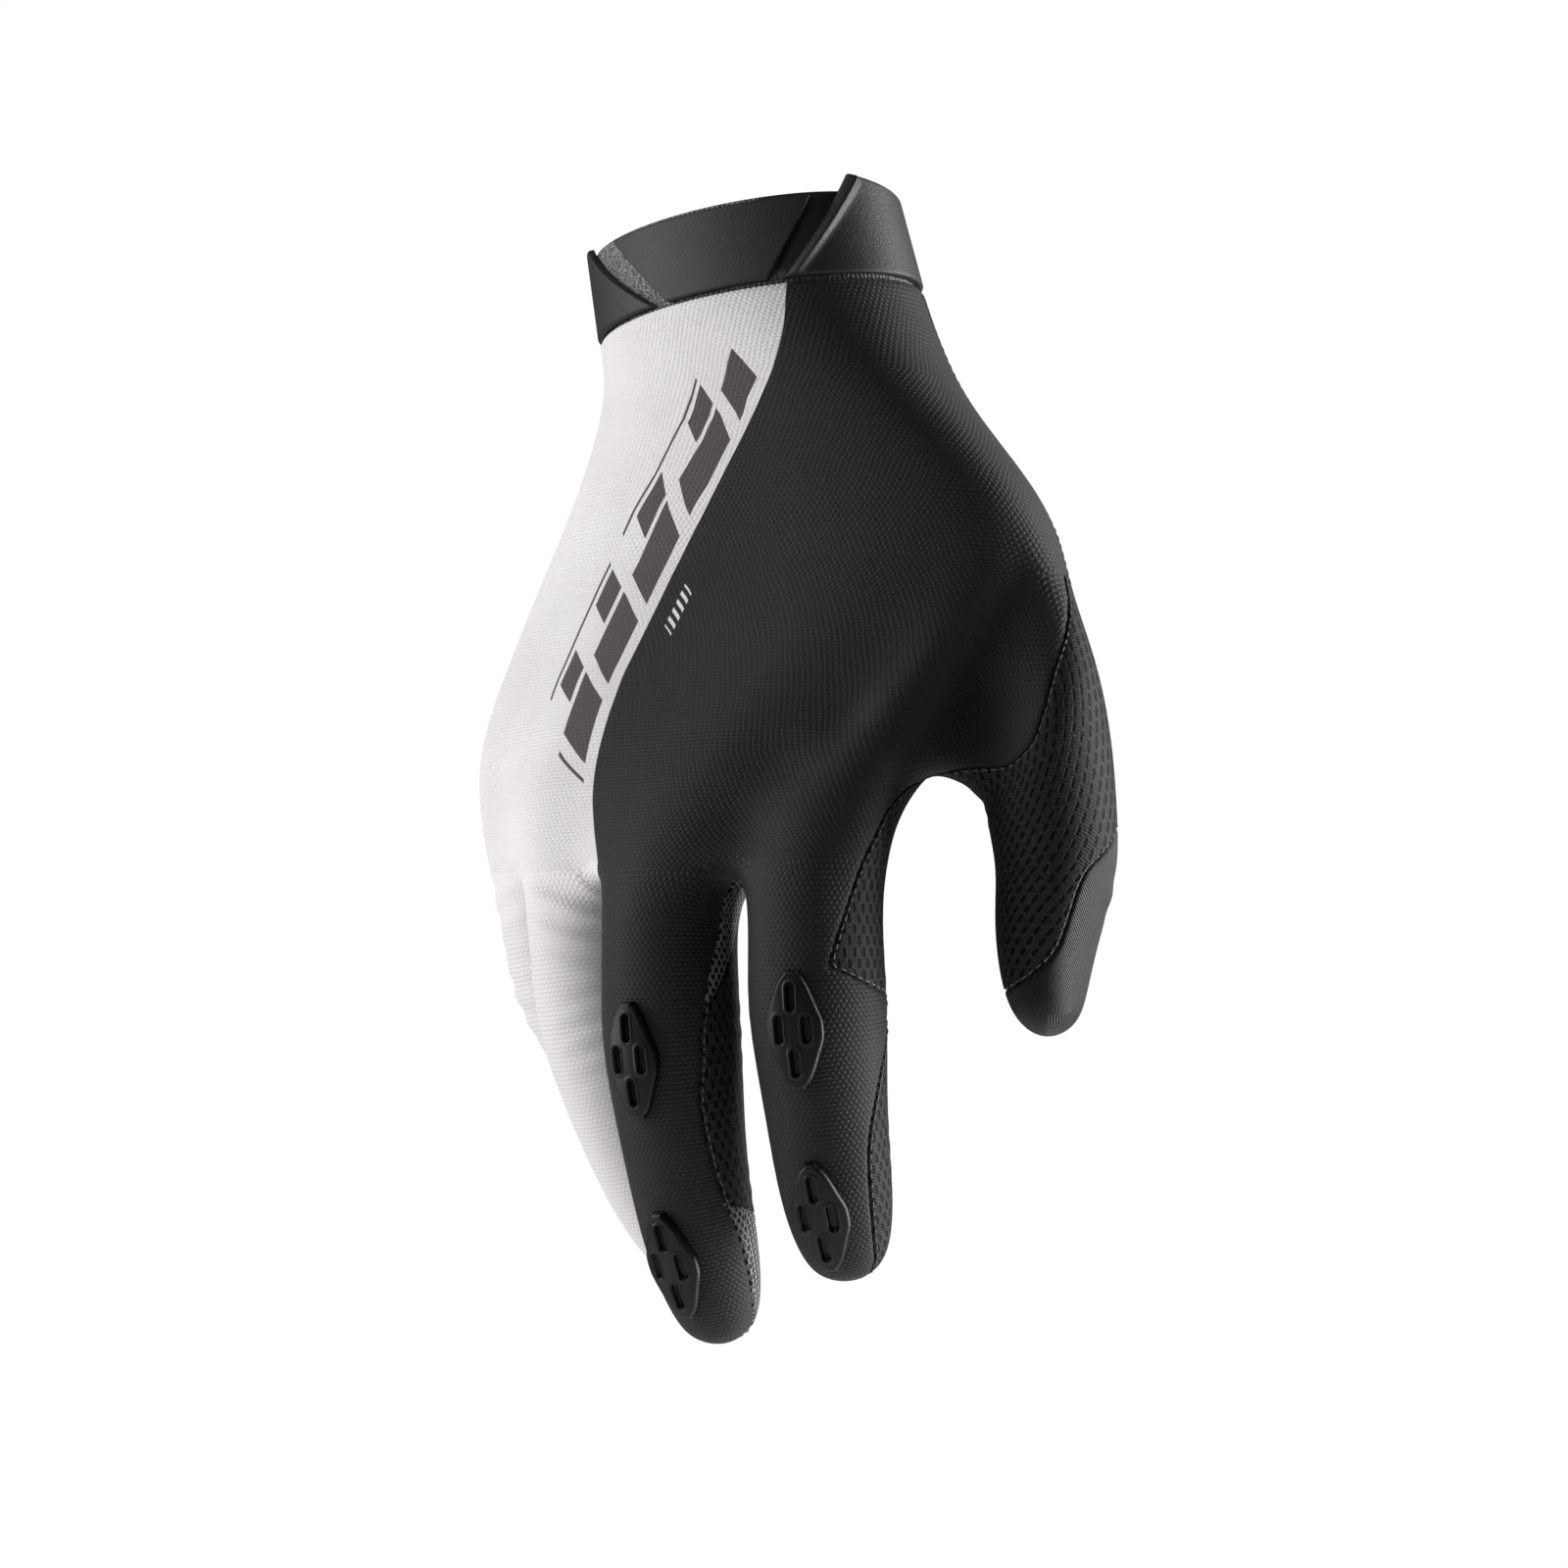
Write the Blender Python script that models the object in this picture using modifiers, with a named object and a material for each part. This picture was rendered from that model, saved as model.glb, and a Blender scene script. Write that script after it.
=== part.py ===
"""A right-hand motocross glove in the form it has when worn, hanging fingers down from its cuff.

Metres, +Z up. The origin is the centre of the cuff's mouth. -Y is the back of the hand, +X the thumb's
side, and the fingers point to -Z. The outer skin of the glove is one coarse cage, subdivided once. Seams
cut it into panels, and each panel gets its own cloth wall.
"""

import math
from collections import namedtuple

import bmesh
import bpy
from mathutils import Matrix, Vector
from mathutils.bvhtree import BVHTree

# Hand and wrist, outside the cloth
HAND_LENGTH = 0.102
HAND_BREADTH = 0.092
HAND_DEPTH = 0.032
WRIST_BREADTH = 0.0655
WRIST_DEPTH = 0.045
KNUCKLE_RISE = 0.0011
KNUCKLE_DIP = 0.5
LENS_REACH = 0.85
LENS_LIFT = 0.80
HAND_LEAN_SIDE = math.radians(3.0)
HAND_LEAN_BACK = math.radians(7.5)

# Cuff
CUFF_HEIGHT = 0.0158
CUFF_SKEW_SIDE = 0.0021
CUFF_SKEW_PALM = 0.0004
CUFF_TAPER = 0.0009
CUFF_WALL = 0.0014
CUFF_LEAN_SIDE = math.radians(-1.9)
CUFF_LEAN_BACK = math.radians(-4.6)
CUFF_PANEL_WALL = 0.0011
CUFF_PANEL_EDGE = 0.0008
FIT_GAP = 0.0004

# Digits
FINGER_WIDTH = 0.0215
FINGER_DEPTH = 0.0205
INDEX_LENGTH = 0.0695
MIDDLE_LENGTH = 0.0800
RING_LENGTH = 0.0740
LITTLE_LENGTH = 0.0620
THUMB_LENGTH = 0.0645
THUMB_WIDTH = 0.0200

# Cloth
CLOTH_WALL = 0.0012
SEAM_GAP = 0.0004

# Rubber pads over the finger joints
PAD_WALL = 0.0013
PAD_WIDTH = 0.0092
PAD_LENGTH = 0.0190
PAD_ACROSS = 6
PAD_ALONG = 8
SLOT_WIDTH = 0.0012
SLOT_LENGTH = 0.0044
SLOT_DEPTH = 0.0006
SLOT_SPOTS = ((0.0, 1.0), (-1.0, 0.05), (1.0, 0.05), (0.0, -0.95))
SLOT_STEP_ALONG = 0.0053
SLOT_STEP_ACROSS = 0.0021

# One cross-section of the hand at each row: places are shares of its length, breadth and depth
HandRow = namedtuple("HandRow", "down radial_x radial_y ulnar_x ulnar_y dorsal palmar knuckle")
HAND_ROWS = (
    HandRow(0.14, 0.428, 0.15, -0.313, 0.00, 0.62, 0.62, 0.0),
    HandRow(0.30, 0.592, 0.47, -0.392, 0.00, 0.58, 0.66, 0.0),
    HandRow(0.44, 0.630, 0.68, -0.470, 0.00, 0.56, 0.68, 0.2),
    HandRow(0.62, 0.575, 0.55, -0.545, 0.00, 0.54, 0.66, 0.6),
    HandRow(0.78, 0.480, 0.10, -0.592, 0.05, 0.52, 0.53, 1.0),
)

# Widths and depths of a finger along its length, as shares
Section = namedtuple("Section", "along width depth")
FINGER_SECTIONS = (
    Section(0.00, 1.03, 1.03),
    Section(0.16, 1.01, 1.02),
    Section(0.30, 1.06, 1.06),
    Section(0.43, 1.00, 1.00),
    Section(0.57, 0.92, 0.91),
    Section(0.72, 0.88, 0.86),
    Section(0.85, 0.79, 0.75),
    Section(0.95, 0.56, 0.53),
)

# The thumb's sections also slant, so that their web side lies further down than their nail side
ThumbSection = namedtuple("ThumbSection", "along width depth slant shift")
THUMB_SECTIONS = (
    ThumbSection(0.16, 1.12, 1.20, 1.04, 0.00),
    ThumbSection(0.30, 1.10, 1.12, 0.60, 0.00),
    ThumbSection(0.42, 1.04, 1.05, 0.25, 0.00),
    ThumbSection(0.54, 1.00, 1.01, 0.00, -0.01),
    ThumbSection(0.68, 0.87, 0.93, 0.00, -0.08),
    ThumbSection(0.81, 0.735, 0.79, 0.00, -0.06),
    ThumbSection(0.92, 0.56, 0.56, 0.00, 0.00),
)

# Where each finger starts, as shares of the hand, and how it turns and bends, in degrees
Digit = namedtuple("Digit", "name x y down length scale roll splay knuckle middle end")
FINGERS = (
    Digit("index", 0.392, -0.18, 0.985, INDEX_LENGTH, 1.00, 22, 5.6, 11, 12, 10),
    Digit("middle", 0.118, -0.42, 1.010, MIDDLE_LENGTH, 1.03, 9, 1.6, 11, 12, 10),
    Digit("ring", -0.148, -0.30, 0.990, RING_LENGTH, 0.97, -10, 0.4, 15, 15, 12),
    Digit("little", -0.372, 0.00, 0.950, LITTLE_LENGTH, 0.88, -27, -5.2, 22, 20, 14),
)
MIDDLE_JOINT_AT = 0.30
END_JOINT_AT = 0.64
JOINT_SPREAD = 0.22

THUMB_ROOT = Vector((0.604, 0.55, 0.60))
THUMB_AIM = Vector((0.14, 0.12, -0.98))
THUMB_BACK = Vector((0.72, 0.69, 0.0))
THUMB_BEND_KNUCKLE = 5
THUMB_BEND_END = 13
THUMB_KNUCKLE_AT = 0.25
THUMB_END_AT = 0.58
THUMB_HOLE_ROW = 3

# How the cage is divided
CORNERS = 8
CAGE_SWELL = 6.0 / (4.0 + 2.0 * math.cos(2.0 * math.pi / CORNERS))
DORSAL_COUNT = 12
RING_COUNT = 2 * DORSAL_COUNT + 2
PATH_STEPS = 200
HAND, INDEX, MIDDLE, RING, LITTLE, THUMB, WEB = range(7)

# Seams. Most say how many of the cage's corners from a digit's side the seam lies, at a share of its length.
Turn = namedtuple("Turn", "at place")
OUTER_EDGE = 0.5
PALM_EDGE = (Turn(0.0, 1.5), Turn(1.0, 1.5), Turn(2.0, 1.3), Turn(3.0, 0.5), Turn(5.0, 0.5))
WEB_EDGE = 1.0
EDGE_PLAY = 0.01
SEAM_SNAP = 0.22
SEAM_TOUCH = 1e-4
INDEX_TONGUE = (
    Turn(-0.22, -0.5), Turn(-0.11, 0.35), Turn(0.00, 0.66), Turn(0.08, 0.90), Turn(0.16, 1.13), Turn(0.23, 1.22),
    Turn(0.30, -0.50), Turn(0.43, 0.05), Turn(0.645, 0.70), Turn(0.85, 0.76), Turn(0.95, 0.55), Turn(1.0, 0.5),
)
MIDDLE_SIDE = (
    Turn(0.00, 0.00), Turn(0.08, 0.14), Turn(0.16, 0.32), Turn(0.30, 0.64), Turn(0.43, 0.80), Turn(0.57, 0.65),
    Turn(0.645, 0.50), Turn(0.72, 0.31), Turn(0.785, 0.17), Turn(0.90, 0.03), Turn(1.00, -0.30),
)
FOURCHETTE_END = (Turn(0.00, -1.2), Turn(0.23, 0.30), Turn(0.30, 0.95))
TIP_MESH_START = (Turn(0.57, 0.90), Turn(0.645, 0.20), Turn(0.85, -1.2), Turn(1.00, -1.2))
THUMB_TOP = (
    Turn(-0.5, 0.0), Turn(0.0, 0.0), Turn(0.5, 0.36), Turn(1.0, 0.62), Turn(1.5, 0.82), Turn(2.0, 1.12),
    Turn(2.5, 1.32), Turn(3.0, 1.12), Turn(3.5, 0.72), Turn(4.0, 0.4), Turn(4.5, 0.0),
)
THUMB_TIP = (
    Turn(-1.5, 0.60), Turn(0.0, 0.46), Turn(0.5, 0.485), Turn(1.0, 0.523), Turn(1.5, 0.597), Turn(2.0, 0.787),
    Turn(2.5, 0.825), Turn(3.0, 0.848), Turn(4.0, 0.862), Turn(5.5, 0.82), Turn(6.5, 0.60),
)
PRINT_EDGE = (
    Turn(0.0, 3.40), Turn(0.5, 4.12), Turn(1.0, 5.05), Turn(1.5, 6.00), Turn(2.0, 6.66), Turn(2.5, 7.05),
    Turn(3.0, 7.28), Turn(3.5, 7.38), Turn(4.0, 7.37), Turn(4.5, 7.22), Turn(5.0, 7.02), Turn(5.5, 6.76),
    Turn(6.0, 6.38),
)
PRINT_WEB = 0.3

# Angles from the thumb's side over the back of the hand, in degrees, and rises above the band's edge
CuffPanel = namedtuple("CuffPanel", "name bottom_start bottom_end top_start top_end rise_start rise_end columns")
CUFF_PANELS = (
    CuffPanel("cuff_thumb_panel", -128.0, 48.0, -128.0, 13.0, 0.0, 0.0037, 17),
    CuffPanel("cuff_back_panel", 53.5, 90.5, 31.5, 113.0, 0.0, 0.0, 9),
    CuffPanel("cuff_side_panel", 96.0, 222.0, 140.0, 222.0, 0.0018, 0.0, 14),
)
CUFF_SEGMENTS = 32
CUFF_PANEL_ROWS = 4

Pad = namedtuple("Pad", "name finger along")
PADS = (
    Pad("index_knuckle_pad", 0, 0.35),
    Pad("index_tip_pad", 0, 0.77),
    Pad("middle_knuckle_pad", 1, 0.345),
    Pad("middle_tip_pad", 1, 0.755),
)

Finish = namedtuple("Finish", "red green blue roughness")
FINISHES = {
    "black_knit": Finish(0.020, 0.018, 0.019, 0.85),
    "white_print": Finish(0.76, 0.74, 0.75, 0.80),
    "black_perforated": Finish(0.016, 0.015, 0.016, 0.75),
    "black_mesh": Finish(0.022, 0.021, 0.022, 0.80),
    "grey_elastic": Finish(0.055, 0.052, 0.054, 0.90),
    "cuff_rubber": Finish(0.030, 0.027, 0.028, 0.65),
    "pad_rubber": Finish(0.010, 0.009, 0.010, 0.50),
}


def smooth_step(value):
    value = min(1.0, max(0.0, value))
    return value * value * (3.0 - 2.0 * value)


def follow(table, at):
    """Reads a table of turns at any place between its rows."""
    if at <= table[0].at:
        return table[0].place
    for one, two in zip(table, table[1:]):
        if at <= two.at:
            return one.place + (two.place - one.place) * (at - one.at) / (two.at - one.at)
    return table[-1].place


def cuff_tilt():
    return Matrix.Rotation(CUFF_LEAN_SIDE, 3, "Y") @ Matrix.Rotation(-CUFF_LEAN_BACK, 3, "X")


def hand_turn():
    """How the hand hangs from the wrist: leaning to its back and to the little finger's side."""
    return Matrix.Rotation(HAND_LEAN_SIDE, 3, "Y") @ Matrix.Rotation(-HAND_LEAN_BACK, 3, "X")


def wrist_centre():
    """The middle of the seam between the cuff and the hand."""
    return cuff_tilt() @ Vector((CUFF_SKEW_SIDE, CUFF_SKEW_PALM, -CUFF_HEIGHT))


def in_hand(x, y, down):
    """A point of the hand, from shares of its breadth, depth and length."""
    return wrist_centre() + hand_turn() @ Vector((x * HAND_BREADTH, y * HAND_DEPTH, -down * HAND_LENGTH))


def ring_angles():
    """Angles round a hand section, from the thumb's side over the back of the hand."""
    step = math.pi / (DORSAL_COUNT + 1)
    return [i * step for i in range(RING_COUNT)]


def wrist_ring():
    points = []
    for angle in ring_angles():
        flat = Vector((0.5 * WRIST_BREADTH * math.cos(angle), -0.5 * WRIST_DEPTH * math.sin(angle), 0.0))
        points.append(wrist_centre() + cuff_tilt() @ flat)
    return points


def hand_ring(row):
    """One section of the hand: a rounded lens between its thumb edge and its little-finger edge."""
    radial = in_hand(row.radial_x, row.radial_y, row.down)
    ulnar = in_hand(row.ulnar_x, row.ulnar_y, row.down)
    middle = (radial + ulnar) / 2.0
    half = (radial - ulnar) / 2.0
    outward = (hand_turn() @ Vector((0, 0, -1))).cross(half).normalized()
    points = []
    for i, angle in enumerate(ring_angles()):
        rise = (row.dorsal if angle <= math.pi else row.palmar) * HAND_DEPTH
        reach = math.copysign(abs(math.cos(angle)) ** LENS_REACH, math.cos(angle))
        lift = math.copysign(abs(math.sin(angle)) ** LENS_LIFT, math.sin(angle)) * rise
        if 1 <= i <= DORSAL_COUNT:
            lift += KNUCKLE_RISE * row.knuckle * (1.0 if (i - 1) % 3 == 1 else -KNUCKLE_DIP)
        points.append(middle + half * reach + outward * lift)
    return points


def finger_frame(finger):
    """Tangent, back and thumb-side directions of a finger before it bends."""
    roll = Matrix.Rotation(math.radians(finger.roll), 3, "Z")
    splay = Matrix.Rotation(math.radians(-finger.splay), 3, "Y")
    turn = hand_turn() @ splay @ roll
    return turn @ Vector((0, 0, -1)), turn @ Vector((0, -1, 0)), turn @ Vector((1, 0, 0))


def finger_bend(finger, share):
    middle = smooth_step((share - MIDDLE_JOINT_AT) / JOINT_SPREAD + 0.5)
    end = smooth_step((share - END_JOINT_AT) / JOINT_SPREAD + 0.5)
    return math.radians(finger.knuckle + finger.middle * middle + finger.end * end)


def thumb_bend(share):
    knuckle = smooth_step((share - THUMB_KNUCKLE_AT) / JOINT_SPREAD + 0.5)
    end = smooth_step((share - THUMB_END_AT) / JOINT_SPREAD + 0.5)
    return math.radians(THUMB_BEND_KNUCKLE * knuckle + THUMB_BEND_END * end)


def walk(start, tangent, back, length, bend, shares):
    """Centre, direction and back at each share of a digit's length, as it bends away from its back."""
    here = start.copy()
    wanted = list(shares)
    found = []
    for step in range(PATH_STEPS + 1):
        share = step / PATH_STEPS
        angle = bend(share)
        direction = tangent * math.cos(angle) - back * math.sin(angle)
        normal = back * math.cos(angle) + tangent * math.sin(angle)
        while wanted and share >= wanted[0] - 1e-9:
            found.append((here.copy(), direction.copy(), normal.copy()))
            wanted.pop(0)
        here += direction * (length / PATH_STEPS)
    return found


def finger_stations(finger, shares):
    tangent, back, _ = finger_frame(finger)
    start = in_hand(finger.x, finger.y, finger.down)
    return walk(start, tangent, back, finger.length, lambda share: finger_bend(finger, share), shares)


def finger_rings(finger):
    """Rings of eight corners down a finger, from its thumb side over its back, then its tip."""
    side = finger_frame(finger)[2]
    stations = finger_stations(finger, [section.along for section in FINGER_SECTIONS] + [1.0])
    rings = []
    for section, (centre, _, normal) in zip(FINGER_SECTIONS, stations):
        half_width = 0.5 * FINGER_WIDTH * finger.scale * section.width * CAGE_SWELL
        half_depth = 0.5 * FINGER_DEPTH * finger.scale * section.depth * CAGE_SWELL
        ring = []
        for corner in range(CORNERS):
            angle = 2.0 * math.pi * corner / CORNERS
            ring.append(centre + side * (half_width * math.cos(angle)) + normal * (half_depth * math.sin(angle)))
        rings.append(ring)
    return rings, stations[-1][0]


def thumb_rings():
    """Rings of eight corners down the thumb, from its nail side over the hand's back, then its tip."""
    tangent = THUMB_AIM.normalized()
    back = (THUMB_BACK - tangent * THUMB_BACK.dot(tangent)).normalized()
    side = tangent.cross(back)
    shares = [section.along for section in THUMB_SECTIONS] + [1.0]
    stations = walk(in_hand(*THUMB_ROOT), tangent, back, THUMB_LENGTH, thumb_bend, shares)
    rings = []
    for section, (centre, direction, normal) in zip(THUMB_SECTIONS, stations):
        half_width = 0.5 * THUMB_WIDTH * section.width * CAGE_SWELL
        half_depth = 0.5 * THUMB_WIDTH * section.depth * CAGE_SWELL
        middle = centre + normal * (THUMB_WIDTH * section.shift)
        slant = direction * (0.5 * THUMB_WIDTH * section.slant)
        ring = []
        for corner in range(CORNERS):
            angle = 2.0 * math.pi * corner / CORNERS
            ring.append(
                middle + (normal * half_width - slant) * math.cos(angle) + side * (half_depth * math.sin(angle))
            )
        rings.append(ring)
    return rings, stations[-1][0]


class Cage:
    """A coarse mesh of quads, each knowing its zone, and its corners' place round and along the zone."""

    def __init__(self):
        self.mesh = bmesh.new()
        self.place = self.mesh.loops.layers.uv.new("place")
        self.zone = self.mesh.faces.layers.int.new("zone")

    def verts(self, points):
        return [self.mesh.verts.new(point) for point in points]

    def quad(self, corners, places, zone):
        face = self.mesh.faces.new(corners)
        face[self.zone] = zone
        face.smooth = True
        for loop, place in zip(face.loops, places):
            loop[self.place].uv = place

    def band(self, upper, lower, row, zone, skipped=()):
        """The quads between one ring and the next."""
        count = len(upper)
        for i in range(count):
            if i in skipped:
                continue
            j = (i + 1) % count
            places = ((i, row), (i + 1, row), (i + 1, row + 1), (i, row + 1))
            self.quad((upper[i], upper[j], lower[j], lower[i]), places, zone)

    def tip(self, ring, point, row, zone):
        """Four quads that close a digit."""
        top = self.mesh.verts.new(point)
        for i in range(0, CORNERS, 2):
            places = ((i, row), (i + 1, row), (i + 2, row), (i + 1, row + 1))
            self.quad((ring[i], ring[i + 1], ring[(i + 2) % CORNERS], top), places, zone)


def glove_cage():
    """The whole glove from its wrist seam to its fingertips."""
    cage = Cage()
    rows = [cage.verts(wrist_ring())] + [cage.verts(hand_ring(row)) for row in HAND_ROWS]
    fingers = []
    for number, finger in enumerate(FINGERS):
        rings, tip = finger_rings(finger)
        fingers.append([cage.verts(ring) for ring in rings])
        for row, (upper, lower) in enumerate(zip(fingers[number], fingers[number][1:])):
            cage.band(upper, lower, row, INDEX + number)
        cage.tip(fingers[number][-1], tip, len(rings) - 1, INDEX + number)
    knuckles = [None] * RING_COUNT
    for number, rings in enumerate(fingers):
        for k in range(3):
            knuckles[1 + 3 * number + k] = rings[0][1 + k]
            knuckles[RING_COUNT - 1 - 3 * number - k] = rings[0][7 - k]
    knuckles[0] = fingers[0][0][0]
    knuckles[DORSAL_COUNT + 1] = fingers[3][0][4]
    rows.append(knuckles)
    for row, (upper, lower) in enumerate(zip(rows, rows[1:])):
        thumb_hole = (0, RING_COUNT - 1) if row in (THUMB_HOLE_ROW, THUMB_HOLE_ROW + 1) else ()
        cage.band(upper, lower, row, HAND, thumb_hole)
    for number in range(3):
        one, two = fingers[number][0], fingers[number + 1][0]
        cage.quad((one[3], two[1], two[0], one[4]), ((0, 0), (1, 0), (1, 1), (0, 1)), WEB + number)
        cage.quad((one[4], two[0], two[7], one[5]), ((0, 1), (1, 1), (1, 2), (0, 2)), WEB + number)
    top, middle, bottom = rows[THUMB_HOLE_ROW:THUMB_HOLE_ROW + 3]
    rings, tip = thumb_rings()
    thumb = [[top[0], top[1], middle[1], bottom[1], bottom[0], bottom[-1], middle[-1], top[-1]]]
    thumb += [cage.verts(ring) for ring in rings]
    for row, (upper, lower) in enumerate(zip(thumb, thumb[1:])):
        cage.band(upper, lower, row, THUMB)
    cage.tip(thumb[-1], tip, len(rings), THUMB)
    loose = [vert for vert in cage.mesh.verts if not vert.link_faces]
    bmesh.ops.delete(cage.mesh, geom=loose, context="VERTS")
    mesh = bpy.data.meshes.new("glove_skin")
    cage.mesh.to_mesh(mesh)
    cage.mesh.free()
    return mesh


def skin_guide(guides):
    """The subdivided skin, which the panels are cut from and the pads lie on."""
    guide = bpy.data.objects.new("glove_skin", glove_cage())
    guides.objects.link(guide)
    hide_as_guide(guide)
    finer = guide.modifiers.new("finer", "SUBSURF")
    finer.levels = 1
    finer.render_levels = 1
    finer.uv_smooth = "NONE"
    return guide


def hide_as_guide(thing):
    thing.hide_render = True
    thing.display_type = "WIRE"


def evaluated_mesh(thing):
    bpy.context.view_layer.update()
    return bpy.data.meshes.new_from_object(thing.evaluated_get(bpy.context.evaluated_depsgraph_get()))


class Skin:
    """The subdivided skin as it is cut along its seams."""

    def __init__(self, mesh):
        self.mesh = bmesh.new()
        self.mesh.from_mesh(mesh)
        self.place = self.mesh.loops.layers.uv["place"]
        self.zone = self.mesh.faces.layers.int["zone"]

    def spot(self, face):
        """Zone of a face, and the middle of its place round and along the zone."""
        around = sum(loop[self.place].uv.x for loop in face.loops) / len(face.loops)
        along = sum(loop[self.place].uv.y for loop in face.loops) / len(face.loops)
        return face[self.zone], around, along

    def cut(self, height):
        """Splits the faces where height, a function of zone, around and along, passes zero."""
        for face in list(self.mesh.faces):
            heights = {}
            zone, middle, row = self.spot(face)
            if height(zone, middle, row) is None:
                continue
            for loop in face.loops:
                heights[loop.vert] = height(zone, loop[self.place].uv.x, loop[self.place].uv.y)
            if None in heights.values():
                continue
            crossings = {vert for vert in heights if abs(heights[vert]) < SEAM_TOUCH}
            for edge in list(face.edges):
                one, two = edge.verts
                if heights[one] * heights[two] >= 0.0 or one in crossings or two in crossings:
                    continue
                share = heights[one] / (heights[one] - heights[two])
                if share < SEAM_SNAP:
                    crossings.add(one)
                elif share > 1.0 - SEAM_SNAP:
                    crossings.add(two)
                else:
                    crossings.add(bmesh.utils.edge_split(edge, one, share)[1])
            if len(crossings) == 2 and not self.mesh.edges.get(list(crossings)):
                bmesh.utils.face_split(face, *crossings)


def from_radial(around):
    """Corners round a digit from its thumb side, from -4 to 4."""
    return around - CORNERS if around > CORNERS / 2 + 0.01 else around


def from_ulnar(around):
    return CORNERS / 2 - around


def share_at(row, shares):
    """Share of a digit's length at a row of its cage."""
    low = min(int(row), len(shares) - 2)
    return shares[low] + (shares[low + 1] - shares[low]) * (row - low)


def finger_share(row):
    return share_at(row, [section.along for section in FINGER_SECTIONS] + [1.0])


def thumb_share(row):
    return share_at(row, [0.0] + [section.along for section in THUMB_SECTIONS] + [1.0])


def palm_edge_height(zone, around, row):
    """The palm's edge on the thumb side of the wrist."""
    if zone == HAND and around > RING_COUNT - DORSAL_COUNT / 2 and row <= 5.0:
        return RING_COUNT - around - follow(PALM_EDGE, row)
    return None


def tongue_height(zone, around, row):
    """The palm's tongue round the root of the index finger."""
    if zone == HAND and row >= 5.0 and (around <= 2.0 or around >= RING_COUNT - 2.0):
        turned = around - RING_COUNT if around > 2.0 else around
        return turned - follow(INDEX_TONGUE, (row - 6.0) * (1.0 - HAND_ROWS[-1].down))
    if zone == INDEX and abs(from_radial(around)) <= 2.5:
        return from_radial(around) - follow(INDEX_TONGUE, finger_share(row))
    return None


def side_height(zone, around, row, table):
    """How far a place between two fingers lies to the back of a seam."""
    radial = abs(from_radial(around)) <= 2.0 and zone in (MIDDLE, RING, LITTLE)
    ulnar = abs(from_ulnar(around)) <= 2.0 and zone in (INDEX, MIDDLE, RING)
    if not (radial or ulnar):
        return None
    return (from_radial(around) if radial else from_ulnar(around)) - follow(table, finger_share(row))


def fourchette_height(zone, around, row):
    return side_height(zone, around, row, FOURCHETTE_END) if row <= 3.0 else None


def middle_side_height(zone, around, row):
    """The back's edge on the thumb side of the middle finger."""
    if zone == MIDDLE and abs(from_radial(around)) <= 2.0:
        return from_radial(around) - follow(MIDDLE_SIDE, finger_share(row))
    return None


def tip_mesh_height(zone, around, row):
    if zone == MIDDLE and row >= 4.0 and abs(from_radial(around)) <= 2.0:
        return from_radial(around) - follow(TIP_MESH_START, finger_share(row))
    return None


def thumb_top_height(zone, around, row):
    if zone != THUMB or row > 2.0 or not (around <= 5.0 or around >= 7.0):
        return None
    return row - follow(THUMB_TOP, around - CORNERS if around >= 7.0 else around)


def thumb_tip_height(zone, around, row):
    if zone != THUMB or row < 2.0:
        return None
    return thumb_share(row) - follow(THUMB_TIP, around - CORNERS if around > 6.5 else around)


def print_height(zone, around, row):
    return around - follow(PRINT_EDGE, row) if zone == HAND and around <= DORSAL_COUNT + 1 else None


SEAMS = (
    palm_edge_height, tongue_height, middle_side_height, fourchette_height, tip_mesh_height, thumb_top_height, thumb_tip_height,
    print_height,
)

PANELS = (
    "knit_back", "palm", "thumb_wrap", "thumb_tip", "fingertip_mesh",
    "fourchette_index_middle", "fourchette_middle_ring", "fourchette_ring_little",
)


def finger_panel(zone, around, row):
    """Which panel a face of a finger belongs to."""
    fourchettes = PANELS[5:]
    if abs(from_radial(around)) <= abs(from_ulnar(around)):
        inward = from_radial(around)
        if zone == INDEX:
            return "knit_back" if inward > follow(INDEX_TONGUE, finger_share(row)) else "palm"
        between = fourchettes[zone - MIDDLE]
    else:
        inward = from_ulnar(around)
        if zone == LITTLE:
            return "knit_back" if inward > -OUTER_EDGE else "palm"
        between = fourchettes[zone - INDEX]
    tip_side = zone == MIDDLE and between == fourchettes[0]
    if inward > (follow(MIDDLE_SIDE, finger_share(row)) if tip_side else -EDGE_PLAY):
        return "knit_back"
    if row < 3.0 and inward > follow(FOURCHETTE_END, finger_share(row)):
        return between
    if tip_side and row > 4.0 and inward > follow(TIP_MESH_START, finger_share(row)):
        return "fingertip_mesh"
    return "palm"


def panel_of(zone, around, row):
    """Which panel a face of the skin belongs to."""
    if zone == HAND:
        height = tongue_height(zone, around, row)
        if height is not None:
            return "knit_back" if height > 0.0 else "palm"
        side = palm_edge_height(zone, around, row)
        if side is not None:
            return "knit_back" if side < 0.0 else "palm"
        return "knit_back" if around < DORSAL_COUNT + 1 + OUTER_EDGE else "palm"
    if zone == THUMB:
        top = thumb_top_height(zone, around, row)
        if top is not None and top < 0.0:
            return "knit_back"
        tip = thumb_tip_height(zone, around, row)
        return "thumb_tip" if tip is not None and tip > 0.0 else "thumb_wrap"
    if zone >= WEB:
        return "knit_back" if row < WEB_EDGE else PANELS[5 + zone - WEB]
    return finger_panel(zone, around, row)


def is_print(zone, around, row):
    """The white print covers the little finger's side of the back, and the two outer fingers."""
    if zone >= WEB:
        return zone > WEB and around > (PRINT_WEB if zone == WEB + 1 else 0.0)
    height = print_height(zone, around, row)
    return zone in (RING, LITTLE) or (zone == HAND and (height is None or height > 0.0) and around < RING_COUNT - 1)


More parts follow.
